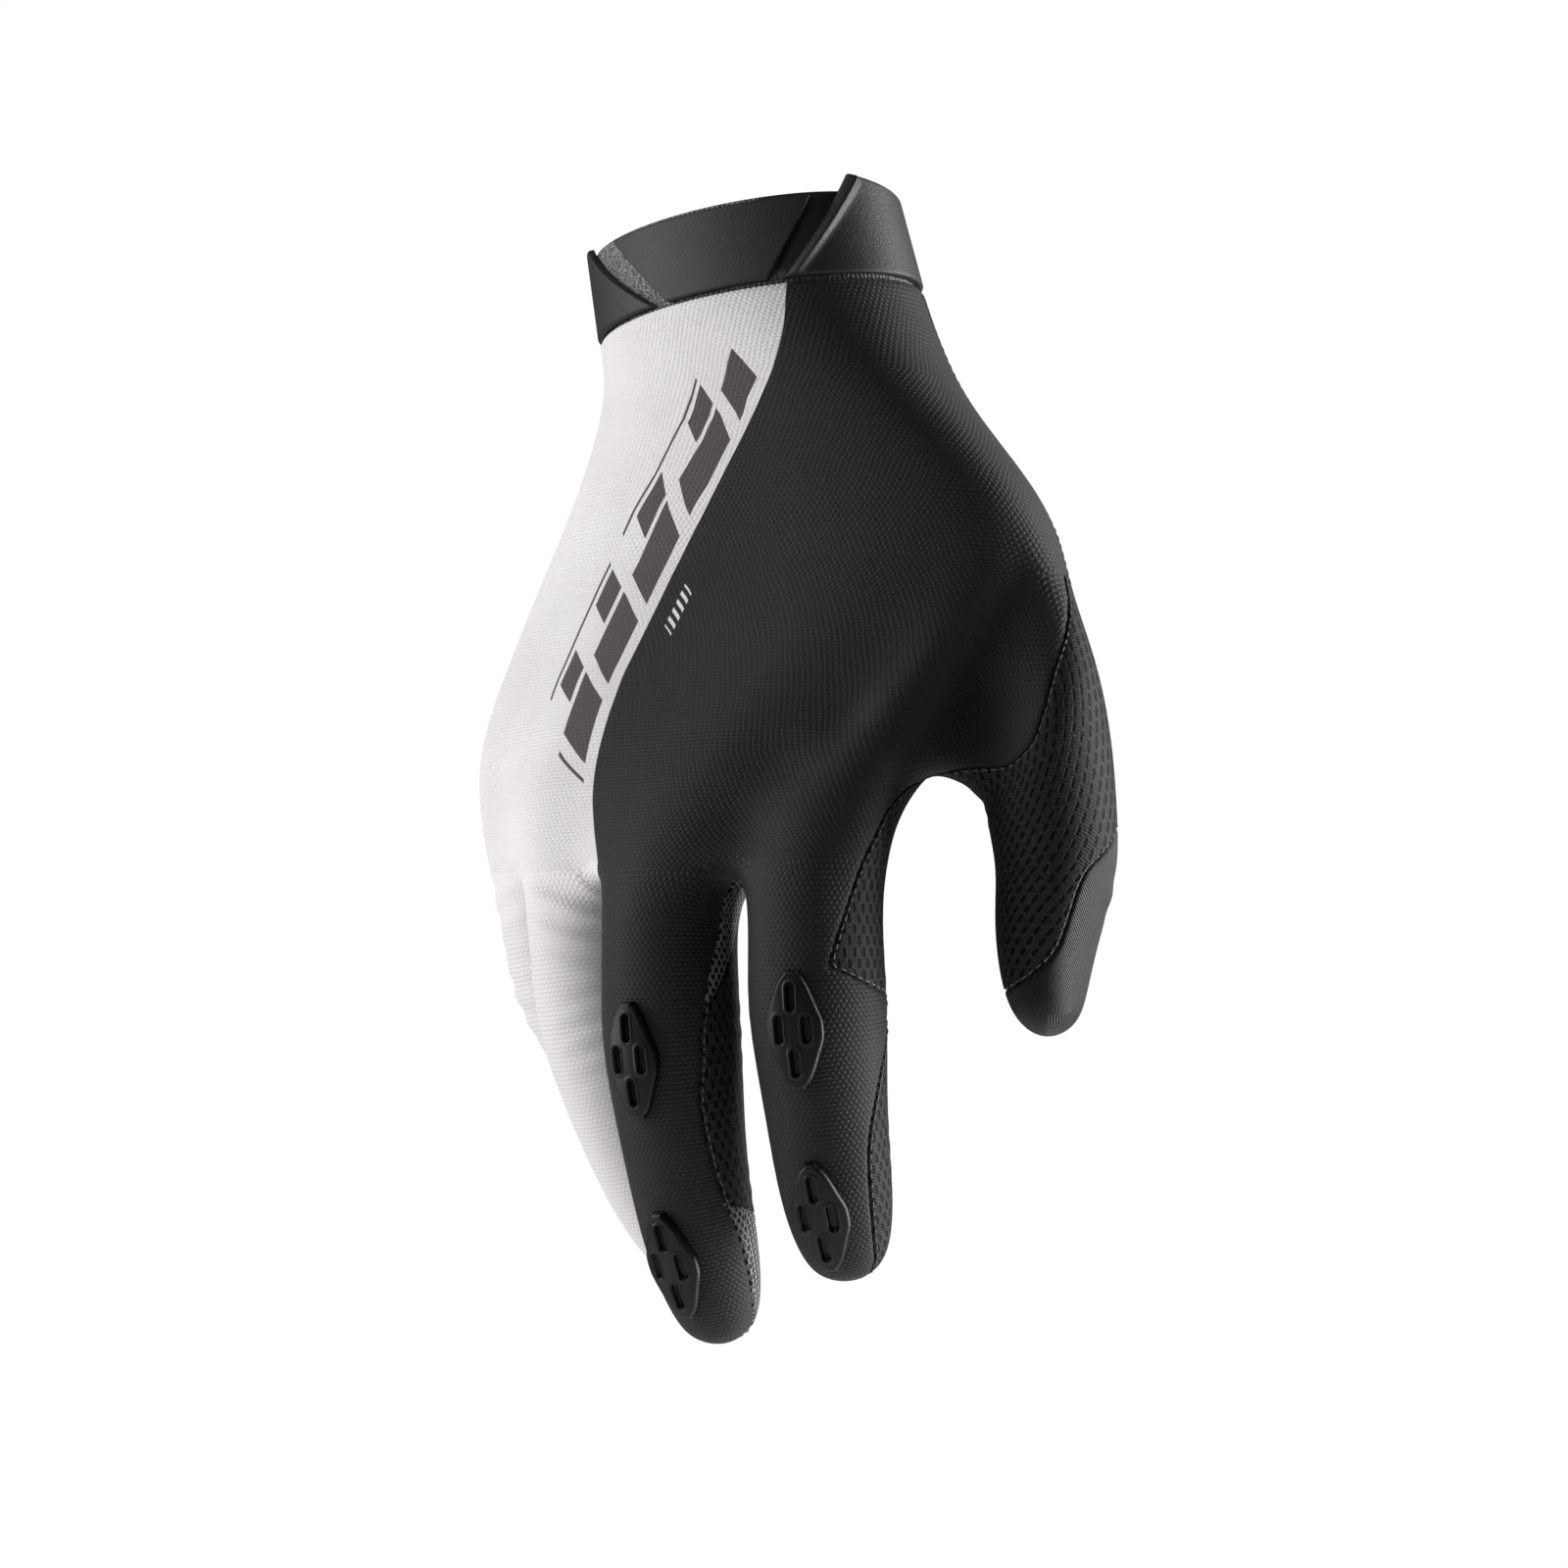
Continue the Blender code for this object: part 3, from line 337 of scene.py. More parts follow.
def glove_cage():
    """The cage, and the points of each zone's rings for measuring the cloth."""
    cage = Cage()
    points = {HAND: [wrist_ring()] + [hand_ring(row) for row in HAND_ROWS]}
    rows = [cage.verts(ring) for ring in points[HAND]]
    fingers = []
    for number, finger in enumerate(FINGERS):
        rings, tip = finger_rings(finger)
        points[INDEX + number] = rings + [[tip] * CORNERS]
        fingers.append([cage.verts(ring) for ring in rings])
        for row, (upper, lower) in enumerate(zip(fingers[number], fingers[number][1:])):
            cage.band(upper, lower, row, INDEX + number)
        cage.tip(fingers[number][-1], tip, len(rings) - 1, INDEX + number)
    knuckles = [None] * RING_COUNT
    for number, rings in enumerate(fingers):
        for k in range(3):
            knuckles[1 + 3 * number + k] = rings[0][1 + k]
            knuckles[RING_COUNT - 1 - 3 * number - k] = rings[0][7 - k]
    knuckles[0] = fingers[0][0][0]
    knuckles[DORSAL_COUNT + 1] = fingers[3][0][4]
    rows.append(knuckles)
    points[HAND].append([vert.co.copy() for vert in knuckles])
    for row, (upper, lower) in enumerate(zip(rows, rows[1:])):
        hole = (0, RING_COUNT - 1) if row in (THUMB_HOLE_ROW, THUMB_HOLE_ROW + 1) else ()
        cage.band(upper, lower, row, HAND, hole)
    for number in range(3):
        one, two = fingers[number][0], fingers[number + 1][0]
        cage.quad((one[3], two[1], two[0], one[4]), ((0, 0), (1, 0), (1, 1), (0, 1)), WEB + number)
        cage.quad((one[4], two[0], two[7], one[5]), ((0, 1), (1, 1), (1, 2), (0, 2)), WEB + number)
    top, middle, bottom = rows[THUMB_HOLE_ROW:THUMB_HOLE_ROW + 3]
    rings, tip = thumb_rings()
    thumb = [[top[0], top[1], middle[1], bottom[1], bottom[0], bottom[-1], middle[-1], top[-1]]]
    points[THUMB] = [[vert.co.copy() for vert in thumb[0]]] + rings + [[tip] * CORNERS]
    thumb += [cage.verts(ring) for ring in rings]
    for row, (upper, lower) in enumerate(zip(thumb, thumb[1:])):
        cage.band(upper, lower, row, THUMB)
    cage.tip(thumb[-1], tip, len(rings), THUMB)
    loose = [vert for vert in cage.mesh.verts if not vert.link_faces]
    bmesh.ops.delete(cage.mesh, geom=loose, context="VERTS")
    mesh = bpy.data.meshes.new("glove_skin")
    cage.mesh.to_mesh(mesh)
    cage.mesh.free()
    return mesh, points


SKIN_LEVEL = 4
cage_mesh, ring_points = glove_cage()
print("cage:", len(cage_mesh.polygons), "quads")

# %% Subdivide it into the cloth's outer surface


def evaluated_mesh(thing):
    bpy.context.view_layer.update()
    return bpy.data.meshes.new_from_object(thing.evaluated_get(bpy.context.evaluated_depsgraph_get()))


cage_object = bpy.data.objects.new("glove_cage", cage_mesh)
scene.collection.objects.link(cage_object)
finer = cage_object.modifiers.new("finer", "SUBSURF")
finer.levels = finer.render_levels = SKIN_LEVEL
finer.uv_smooth = "NONE"
skin_mesh = evaluated_mesh(cage_object)
bpy.data.objects.remove(cage_object)
print("skin:", len(skin_mesh.polygons), "quads")

# %% [markdown]
# Each corner's place is also turned into metres of cloth: how far round its zone and how far along it.
# Weaves and holes are drawn at true size from this map, which is called cloth. A second map, called print,
# holds the distance from the edge of the white print and the distance from the wrist, and draws the print.

# %% Maps in metres


class Rings:
    """Lengths of cloth round and along one zone, from the points of its rings."""

    def __init__(self, rings, centre):
        loops = [[(b - a).length for a, b in zip(ring, ring[1:] + ring[:1])] for ring in rings]
        self.round = np.array([[0.0] + list(np.cumsum(loop)) for loop in loops])
        self.round -= np.array([[np.interp(centre, range(len(row)), row)] for row in self.round])
        middles = [sum(ring, Vector()) / len(ring) for ring in rings]
        steps = [(b - a).length for a, b in zip(middles, middles[1:])]
        self.down = np.array([0.0] + list(np.cumsum(steps)))

    def at(self, around, row):
        """Metres round and along, for arrays of columns and rows."""
        low = np.clip(np.floor(row).astype(int), 0, len(self.down) - 2)
        part = row - low
        count = self.round.shape[1] - 1
        column = np.clip(np.floor(around).astype(int), 0, count - 1)
        slide = around - column
        upper = self.round[low, column] * (1 - slide) + self.round[low, column + 1] * slide
        lower = self.round[low + 1, column] * (1 - slide) + self.round[low + 1, column + 1] * slide
        return upper * (1 - part) + lower * part, self.down[low] * (1 - part) + self.down[low + 1] * part


measures = {HAND: Rings(ring_points[HAND], 6.5), THUMB: Rings(ring_points[THUMB], 2.0)}
for zone in (INDEX, MIDDLE, RING, LITTLE):
    measures[zone] = Rings(ring_points[zone], 2.0)
finger_start = measures[HAND].down[-1]
print("back of the hand:", round(1000 * finger_start), "mm from wrist to knuckles")

# %% [markdown]
# A seam is a smooth curve over the cloth. It is written as a table: at this column or share of a digit's
# length, the seam is at that place. Straight lines between the rows would show as corners, so the curve
# glides through them. A height function then says how far any place is to one side of a seam, and where it
# passes zero the cloth is cut.

# %% Seam tables
INDEX_TONGUE = (
    (-0.22, -0.50), (-0.205, -0.13), (-0.13, 0.28), (-0.057, 0.51), (0.00, 0.67), (0.075, 0.88),
    (0.152, 1.11), (0.204, 1.26), (0.224, 1.32), (0.239, 1.06), (0.262, 0.65), (0.28, 0.24), (0.30, -0.30),
    (0.34, -0.50), (0.40, -0.20), (0.482, 0.20), (0.665, 0.73), (0.766, 0.77), (0.844, 0.76), (0.93, 0.58),
    (1.00, 0.50),
)
MIDDLE_SIDE = (
    (0.00, 0.00), (0.02, 0.09), (0.105, 0.16), (0.167, 0.34), (0.223, 0.50), (0.28, 0.61), (0.317, 0.67),
    (0.372, 0.71), (0.428, 0.80), (0.55, 0.70), (0.661, 0.48), (0.703, 0.35), (0.748, 0.25), (0.842, 0.12),
    (0.885, 0.07), (0.947, -0.21), (1.00, -0.30),
)
FOURCHETTE_END = ((0.00, -1.2), (0.23, 0.30), (0.30, 0.95))
TIP_MESH_START = ((0.57, 0.90), (0.645, 0.55), (0.70, -0.50), (0.76, -1.2), (1.00, -1.2))
THUMB_TOP = (
    (-0.5, 0.00), (0.0, 0.00), (0.15, 0.08), (0.47, 0.35), (0.97, 0.61), (1.43, 0.78), (1.95, 1.09),
    (2.32, 1.29), (2.76, 1.26), (3.11, 1.04), (3.38, 0.82), (4.0, 0.40), (4.5, 0.00),
)
THUMB_TIP = (
    (-1.5, 0.60), (0.0, 0.46), (0.67, 0.498), (1.06, 0.527), (1.28, 0.546), (1.41, 0.568), (1.50, 0.600),
    (1.58, 0.67), (1.69, 0.731), (1.94, 0.78), (2.37, 0.818), (2.94, 0.846), (3.53, 0.859), (5.5, 0.82),
    (6.5, 0.60),
)
PRINT_EDGE = (
    (0.0, 3.40), (0.5, 4.11), (1.0, 5.05), (1.35, 5.75), (1.69, 6.28), (2.07, 6.72), (2.48, 7.04),
    (2.89, 7.25), (3.29, 7.36), (3.67, 7.39), (4.07, 7.36), (4.43, 7.24), (4.78, 7.10), (5.33, 6.87),
    (5.6, 6.69), (6.0, 6.38),
)
PRINT_WEB = 0.38
OUTER_EDGE, WEB_EDGE, EDGE_PLAY = 0.5, 1.0, 0.01
PALM_EDGE = ((0.0, 1.5), (1.0, 1.5), (2.0, 1.3), (3.0, 0.5), (5.0, 0.5))
FINGER_SHARES = [section.along for section in FINGER_SECTIONS] + [1.0]
THUMB_SHARES = [0.0] + [section.along for section in THUMB_SECTIONS] + [1.0]


def glide(table, at):
    """The height of a smooth curve through a table's rows."""
    xs, ys = np.array(table).T
    slopes = np.gradient(ys, xs)
    if len(xs) > 2:
        steps = np.diff(ys) / np.diff(xs)
        for i in range(1, len(xs) - 1):
            slopes[i] = 0.0 if steps[i - 1] * steps[i] <= 0.0 else 2.0 / (1.0 / steps[i - 1] + 1.0 / steps[i])
    at = np.clip(at, xs[0], xs[-1])
    low = np.clip(np.searchsorted(xs, at, side="right") - 1, 0, len(xs) - 2)
    width = xs[low + 1] - xs[low]
    t = (at - xs[low]) / width
    bend = t * t * (3 - 2 * t)
    rise = ys[low] * (1 - bend) + ys[low + 1] * bend
    return rise + width * (slopes[low] * t * (1 - t) ** 2 - slopes[low + 1] * t * t * (1 - t))


def from_radial(around):
    return np.where(around > CORNERS / 2 + 0.01, around - CORNERS, around)


def from_ulnar(around):
    return CORNERS / 2 - around


def finger_share(row):
    return np.interp(row, range(len(FINGER_SHARES)), FINGER_SHARES)


def thumb_share(row):
    return np.interp(row, range(len(THUMB_SHARES)), THUMB_SHARES)


# %% Height functions, one for each seam


def palm_edge_height(zone, around, row):
    """The palm's edge on the thumb side of the wrist."""
    near = (zone == HAND) & (around > RING_COUNT - DORSAL_COUNT / 2) & (row <= 5.0)
    return np.where(near, RING_COUNT - around - glide(PALM_EDGE, row), np.nan)


def tongue_height(zone, around, row):
    """The palm cloth's tongue round the root of the index finger."""
    turned = np.where(around > 2.0, around - RING_COUNT, around)
    on_hand = turned - glide(INDEX_TONGUE, (row - 6.0) * (1.0 - HAND_ROWS[-1].down))
    on_finger = from_radial(around) - glide(INDEX_TONGUE, finger_share(row))
    near_hand = (zone == HAND) & (row >= 5.0) & ((around <= 2.0) | (around >= RING_COUNT - 2.0))
    near_finger = (zone == INDEX) & (abs(from_radial(around)) <= 2.5)
    return np.where(near_hand, on_hand, np.where(near_finger, on_finger, np.nan))


def side_height(zone, around, row, table):
    radial = (abs(from_radial(around)) <= 2.0) & (zone >= MIDDLE) & (zone <= LITTLE)
    ulnar = (abs(from_ulnar(around)) <= 2.0) & (zone >= INDEX) & (zone <= RING)
    seam = glide(table, finger_share(row))
    height = np.where(radial, from_radial(around), from_ulnar(around)) - seam
    return np.where(radial | ulnar, height, np.nan)


def fourchette_height(zone, around, row):
    return np.where(row <= 3.0, side_height(zone, around, row, FOURCHETTE_END), np.nan)


def middle_side_height(zone, around, row):
    """The back's edge on the thumb side of the middle finger."""
    near = (zone == MIDDLE) & (abs(from_radial(around)) <= 2.0)
    return np.where(near, from_radial(around) - glide(MIDDLE_SIDE, finger_share(row)), np.nan)


def tip_mesh_height(zone, around, row):
    near = (zone == MIDDLE) & (row >= 4.0) & (abs(from_radial(around)) <= 2.0)
    return np.where(near, from_radial(around) - glide(TIP_MESH_START, finger_share(row)), np.nan)


def thumb_top_height(zone, around, row):
    turned = np.where(around >= 7.0, around - CORNERS, around)
    near = (zone == THUMB) & (row <= 2.0) & ((around <= 5.0) | (around >= 7.0))
    return np.where(near, row - glide(THUMB_TOP, turned), np.nan)


def thumb_tip_height(zone, around, row):
    turned = np.where(around > 6.5, around - CORNERS, around)
    return np.where((zone == THUMB) & (row >= 2.0), thumb_share(row) - glide(THUMB_TIP, turned), np.nan)


SEAMS = (
    palm_edge_height, tongue_height, middle_side_height, fourchette_height, tip_mesh_height,
    thumb_top_height, thumb_tip_height,
)
PANELS = (
    "knit_back", "palm", "thumb_wrap", "thumb_tip", "fingertip_mesh",
    "fourchette_index_middle", "fourchette_middle_ring", "fourchette_ring_little",
)


def panel_of(zone, around, row):
    """The number of the panel that each place belongs to, for arrays of places."""
    back, palm, wrap, tip, tip_mesh, first_between = range(6)
    answer = np.full(zone.shape, palm)
    tongue = tongue_height(zone, around, row)
    side = palm_edge_height(zone, around, row)
    dorsal = np.where(np.isnan(side), around < DORSAL_COUNT + 1 + OUTER_EDGE, side < 0.0)
    on_tongue = ~np.isnan(tongue)
    answer[(zone == HAND) & np.where(on_tongue, tongue > 0.0, dorsal)] = back
    finger = (zone >= INDEX) & (zone <= LITTLE)
    radial = abs(from_radial(around)) <= abs(from_ulnar(around))
    inward = np.where(radial, from_radial(around), from_ulnar(around))
    outer_index, outer_little = (zone == INDEX) & radial, (zone == LITTLE) & ~radial
    answer[outer_index & (inward > glide(INDEX_TONGUE, finger_share(row)))] = back
    answer[outer_little & (inward > -OUTER_EDGE)] = back
    inner = finger & ~outer_index & ~outer_little
    tip_side = (zone == MIDDLE) & radial
    edge = np.where(tip_side, glide(MIDDLE_SIDE, finger_share(row)), -EDGE_PLAY)
    answer[inner & (inward > edge)] = back
    between = inner & (inward <= edge) & (row < 3.0)
    between &= inward > glide(FOURCHETTE_END, finger_share(row))
    answer[between] = (first_between + zone - np.where(radial, MIDDLE, INDEX))[between]
    near_tip = tip_side & (inward <= edge) & (row > 4.0)
    answer[near_tip & (inward > glide(TIP_MESH_START, finger_share(row)))] = tip_mesh
    thumb = zone == THUMB
    answer[thumb] = wrap
    answer[thumb & (np.nan_to_num(thumb_tip_height(zone, around, row), nan=-1.0) > 0.0)] = tip
    answer[thumb & (np.nan_to_num(thumb_top_height(zone, around, row), nan=1.0) < 0.0)] = back
    webs = zone >= WEB
    answer[webs] = np.where(row < WEB_EDGE, back, first_between + zone - WEB)[webs]
    return answer


# %% [markdown]
# Cutting is done on the mesh itself, so each panel is a real piece of cloth with its own edge. Only faces
# that a seam crosses are split, which is quick to find with one array of heights. A crossing very near a
# corner is moved to it, because a sliver of a face would catch the light.

# %% Cut the skin along its seams


class Skin:
    """The subdivided surface as it is cut."""

    def __init__(self, mesh):
        self.mesh = bmesh.new()
        self.mesh.from_mesh(mesh)
        self.place = self.mesh.loops.layers.uv["place"]
        self.zone = self.mesh.faces.layers.int["zone"]

    def corners(self, faces):
        zone = np.array([face[self.zone] for face in faces for _ in face.loops])
        places = np.array([loop[self.place].uv[:] for face in faces for loop in face.loops])
        return zone, places[:, 0], places[:, 1]

    def middles(self, faces):
        zone, around, row = self.corners(faces)
        owner = np.repeat(np.arange(len(faces)), [len(face.loops) for face in faces])
        count = np.bincount(owner)
        zones = np.array([face[self.zone] for face in faces])
        return zones, np.bincount(owner, around) / count, np.bincount(owner, row) / count

    def cut(self, height):
        faces = list(self.mesh.faces)
        values, middles = height(*self.corners(faces)), height(*self.middles(faces))
        starts = np.cumsum([0] + [len(face.loops) for face in faces[:-1]])
        sides = np.minimum.reduceat(values, starts) * np.maximum.reduceat(values, starts)
        for number in np.flatnonzero((sides < 0.0) & ~np.isnan(middles)):
            face = faces[number]
            known = dict(zip([loop.vert for loop in face.loops], height(*self.corners([face]))))
            crossings = {vert for vert in known if abs(known[vert]) < 1e-4}
            for edge in list(face.edges):
                one, two = edge.verts
                if known[one] * known[two] >= 0.0 or one in crossings or two in crossings:
                    continue
                share = float(known[one] / (known[one] - known[two]))
                if 0.10 < share < 0.90:
                    crossings.add(bmesh.utils.edge_split(edge, one, share)[1])
                else:
                    crossings.add(one if share <= 0.10 else two)
            if len(crossings) == 2 and not self.mesh.edges.get(list(crossings)):
                bmesh.utils.face_split(face, *crossings)


skin = Skin(skin_mesh)
for seam in SEAMS:
    skin.cut(seam)
skin.mesh.faces.ensure_lookup_table()
all_faces = list(skin.mesh.faces)
face_panels = panel_of(*skin.middles(all_faces))
print({name: int((face_panels == number).sum()) for number, name in enumerate(PANELS)})

# %% [markdown]
# Knit that bends wrinkles across the digit. Each fold group here is a patch of soft waves at a joint or at
# the root of a finger, with its own pitch and depth, and it fades out at its edges. A swell is one soft
# rise or hollow, such as the ridge of a bone or the valley between two of them. Both are moved into the
# surface before the panels are taken from it, so neighbouring panels still meet.

# %% Folds in the cloth
Folds = namedtuple("Folds", "zone around share round_spread along_spread pitch depth slant")
FOLDS = (
    Folds(RING, 1.4, 0.06, 0.9, 0.12, 0.0046, 0.00048, 0.5),
    Folds(RING, 0.6, 0.33, 1.0, 0.10, 0.0040, 0.00032, -0.3),
    Folds(LITTLE, 2.2, 0.30, 1.2, 0.10, 0.0042, 0.00024, 0.2),
    Folds(LITTLE, 2.0, 0.05, 1.2, 0.10, 0.0050, 0.00024, -0.4),
    Folds(MIDDLE, 6.0, 0.32, 1.7, 0.08, 0.0044, 0.00016, 0.0),
    Folds(MIDDLE, 6.0, 0.66, 1.6, 0.07, 0.0040, 0.00014, 0.0),
    Folds(INDEX, 6.0, 0.32, 1.7, 0.08, 0.0044, 0.00016, 0.0),
    Folds(INDEX, 6.0, 0.66, 1.6, 0.07, 0.0040, 0.00014, 0.0),
    Folds(RING, 6.0, 0.32, 1.7, 0.10, 0.0044, 0.00030, 0.0),
    Folds(LITTLE, 6.0, 0.32, 1.7, 0.10, 0.0044, 0.00030, 0.0),
    Folds(THUMB, 5.4, 0.22, 1.3, 0.10, 0.0050, 0.00024, 0.3),
    Folds(THUMB, 0.2, 0.60, 0.9, 0.05, 0.0060, 0.00018, 0.0),
)
LENGTHS = {INDEX + number: finger.length for number, finger in enumerate(FINGERS)} | {THUMB: THUMB_LENGTH}


def fold_depths(zone, around, row):
    """How far each place is pushed out by the folds."""
    out = np.zeros(zone.shape)
    for fold in FOLDS:
        share = thumb_share(row) if fold.zone == THUMB else finger_share(row)
        turned = (around - fold.around + CORNERS / 2) % CORNERS - CORNERS / 2
        along = share - fold.share
        wave = np.cos(2.0 * math.pi * (along * LENGTHS[fold.zone] / fold.pitch + fold.slant * turned))
        fade = np.exp(-((turned / fold.round_spread) ** 2) - (along / fold.along_spread) ** 2)
        out += np.where(zone == fold.zone, fold.depth * wave * fade, 0.0)
    return out


Swell = namedtuple("Swell", "zone around row radius height")
SWELLS = (
    Swell(HAND, 2.46, 3.77, 0.0068, 0.00100), Swell(HAND, 1.81, 4.29, 0.0066, 0.00170),
    Swell(HAND, 1.25, 4.75, 0.0062, 0.00190), Swell(HAND, 1.00, 5.18, 0.0058, 0.00170),
    Swell(HAND, 0.84, 5.65, 0.0052, 0.00090), Swell(THUMB, 2.74, 0.72, 0.0075, -0.00240),
    Swell(THUMB, 2.27, 0.42, 0.0070, -0.00220), Swell(HAND, 3.50, 5.15, 0.0058, -0.00060),
    Swell(HAND, 3.50, 5.65, 0.0058, -0.00110), Swell(HAND, 2.60, 4.75, 0.0062, -0.00080),
)


def ring_spot(zone, around, row):
    """A place in space from a column and a row between the rings."""
    low = int(row)
    pair = []
    for ring in ring_points[zone][low:low + 2]:
        one, two = ring[int(around)], ring[(int(around) + 1) % len(ring)]
        pair.append(one.lerp(two, around % 1.0))
    return pair[0].lerp(pair[1], row - low)


def swell_depths(points):
    """How far each point in space is pushed out by the swells."""
    out = np.zeros(len(points))
    for swell in SWELLS:
        middle = np.array(ring_spot(swell.zone, swell.around, swell.row))
        out += swell.height * np.exp(-((points - middle) ** 2).sum(axis=1) / swell.radius ** 2)
    return out


skin.mesh.normal_update()
zone, around, row = skin.corners(all_faces)
push = {}
corner_verts = (loop.vert for face in all_faces for loop in face.loops)
for vert, depth in zip(corner_verts, fold_depths(zone, around, row)):
    push[vert] = max(push.get(vert, -1.0), float(depth))
for vert, depth in zip(push, swell_depths(np.array([vert.co[:] for vert in push]))):
    push[vert] += float(depth)
moves = [(vert, vert.normal * depth) for vert, depth in push.items()]
for vert, move in moves:
    vert.co += move
skin.mesh.normal_update()
print("highest rise:", round(1000 * max(push.values()), 2), "mm")

# %% [markdown]
# Two panels meet in a seam: each edge is turned in, so the cloth rolls down towards the thread. Here every
# panel is a copy of the skin without the others. Its edge is lowered along a quarter circle, and its inner
# wall is the same surface one cloth's thickness further in. Faces of the inner wall that are nearly flat to
# each other are joined, because nobody sees them and the piece stays light.

# %% Panels
EDGE_ROLL, EDGE_DROP, CLOTH_WALL = 0.0008, 0.00038, 0.0010
WEB_BREADTH, WEB_DEPTH = 0.0075, 0.0085
INNER_BEND = math.radians(3.5)
panel_layer = skin.mesh.faces.layers.int.new("panel")
inward_layer = skin.mesh.verts.layers.float_vector.new("inward")
skin.mesh.faces.ensure_lookup_table()
for face, number in zip(list(skin.mesh.faces), face_panels):
    face[panel_layer] = int(number)


def seam_edges(mesh):
    pairs = [edge for edge in mesh.edges if len(edge.link_faces) == 2]
    return [edge for edge in pairs if edge.link_faces[0][panel_layer] != edge.link_faces[1][panel_layer]]


def relax_seams(rounds):
    """Takes the small steps out of the seam lines, apart from where three panels meet."""
    ends = {}
    for edge in seam_edges(skin.mesh):
        for vert in edge.verts:
            ends.setdefault(vert, []).append(edge.other_vert(vert))
    ends = {vert: others for vert, others in ends.items() if len(others) == 2}
    for _ in range(rounds):
        moved = [(vert, vert.co * 0.5 + (one.co + two.co) * 0.25) for vert, (one, two) in ends.items()]
        for vert, place in moved:
            vert.co = place


relax_seams(6)
skin.mesh.normal_update()
for vert in skin.mesh.verts:
    vert[inward_layer] = -vert.normal


def rolled(distance):
    share = 1.0 - distance / EDGE_ROLL
    return EDGE_DROP * (1.0 - math.sqrt(1.0 - share * share)) if share > 0.0 else 0.0


def add_maps(mesh):
    """The cloth and print maps, in metres, from the place map."""
    places = np.empty(2 * len(mesh.loops))
    mesh.uv_layers["place"].data.foreach_get("uv", places)
    around, row = places.reshape(-1, 2).T
    zones = np.empty(len(mesh.polygons), dtype=int)
    mesh.attributes["zone"].data.foreach_get("value", zones)
    sizes = np.empty(len(mesh.polygons), dtype=int)
    mesh.polygons.foreach_get("loop_total", sizes)
    zones = np.repeat(zones, sizes)
    across, down = around * WEB_BREADTH, row * WEB_DEPTH
    for zone, measure in measures.items():
        on = zones == zone
        start = finger_start if zone in (INDEX, MIDDLE, RING, LITTLE) else 0.0
        found = measure.at(around[on], row[on])
        across[on], down[on] = found[0], found[1] + start
    edge = measures[HAND].at(glide(PRINT_EDGE, row), np.clip(row, 0.0, 6.0))[0]
    from_edge = np.where((zones == RING) | (zones == LITTLE) | (zones == WEB + 2), 0.05, -0.05)
    from_edge = np.where(zones == WEB + 1, (around - PRINT_WEB) * WEB_BREADTH, from_edge)
    on_back = (zones == HAND) & (around < 20.0)
    from_edge[on_back] = (across - edge)[on_back]
    for name, values in (("cloth", across), ("print", from_edge)):
        layer = mesh.uv_layers.new(name=name)
        layer.data.foreach_set("uv", np.stack([values, down], axis=1).ravel())
    mesh.uv_layers.remove(mesh.uv_layers["place"])
    mesh.uv_layers["cloth"].active = True
    mesh.uv_layers["cloth"].active_render = True


def put(name, mesh, finish, node):
    """Adds a finished piece, with its material and the solid it stands for."""
    made = bpy.data.objects.new(name, mesh)
    scene.collection.objects.link(made)
    mesh.materials.clear()
    mesh.materials.append(finish)
    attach(made, "root")
    if node:
        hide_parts(node)
    return made


def panel_mesh(number):
    panel = skin.mesh.copy()
    layer = panel.faces.layers.int["panel"]
    inward = panel.verts.layers.float_vector["inward"]
    bmesh.ops.delete(panel, geom=[face for face in panel.faces if face[layer] != number], context="FACES")
    rim = [vert.co.copy() for vert in panel.verts if vert.is_boundary]
    tree = KDTree(len(rim))
    for i, place in enumerate(rim):
        tree.insert(place, i)
    tree.balance()
    drops = {vert: rolled(tree.find(vert.co)[2]) for vert in panel.verts}
    outer = list(panel.verts)
    made = bmesh.ops.extrude_face_region(panel, geom=panel.faces[:], use_keep_orig=True)["geom"]
    inner = {item for item in made if isinstance(item, bmesh.types.BMVert)}
    for vert in inner:
        vert.co += vert[inward] * CLOTH_WALL
    for vert in outer:
        vert.co += vert[inward] * drops[vert]
    hidden = [edge for edge in panel.edges if all(set(face.verts) <= inner for face in edge.link_faces)]
    bmesh.ops.dissolve_limit(panel, angle_limit=INNER_BEND, verts=[], edges=hidden)
    bmesh.ops.recalc_face_normals(panel, faces=panel.faces[:])
    mesh = bpy.data.meshes.new(PANELS[number])
    panel.to_mesh(mesh)
    panel.free()
    add_maps(mesh)
    return mesh


panel_meshes = {name: panel_mesh(number) for number, name in enumerate(PANELS)}
for name, mesh in panel_meshes.items():
    print(name, sum(len(face.vertices) - 2 for face in mesh.polygons), "triangles")

# %% [markdown]
# Every finish is a node tree on a Principled BSDF. A pattern in metres of cloth is arithmetic on two
# numbers, so a small helper that adds a math node and gives back its output keeps the trees readable.

# %% A helper for finishes


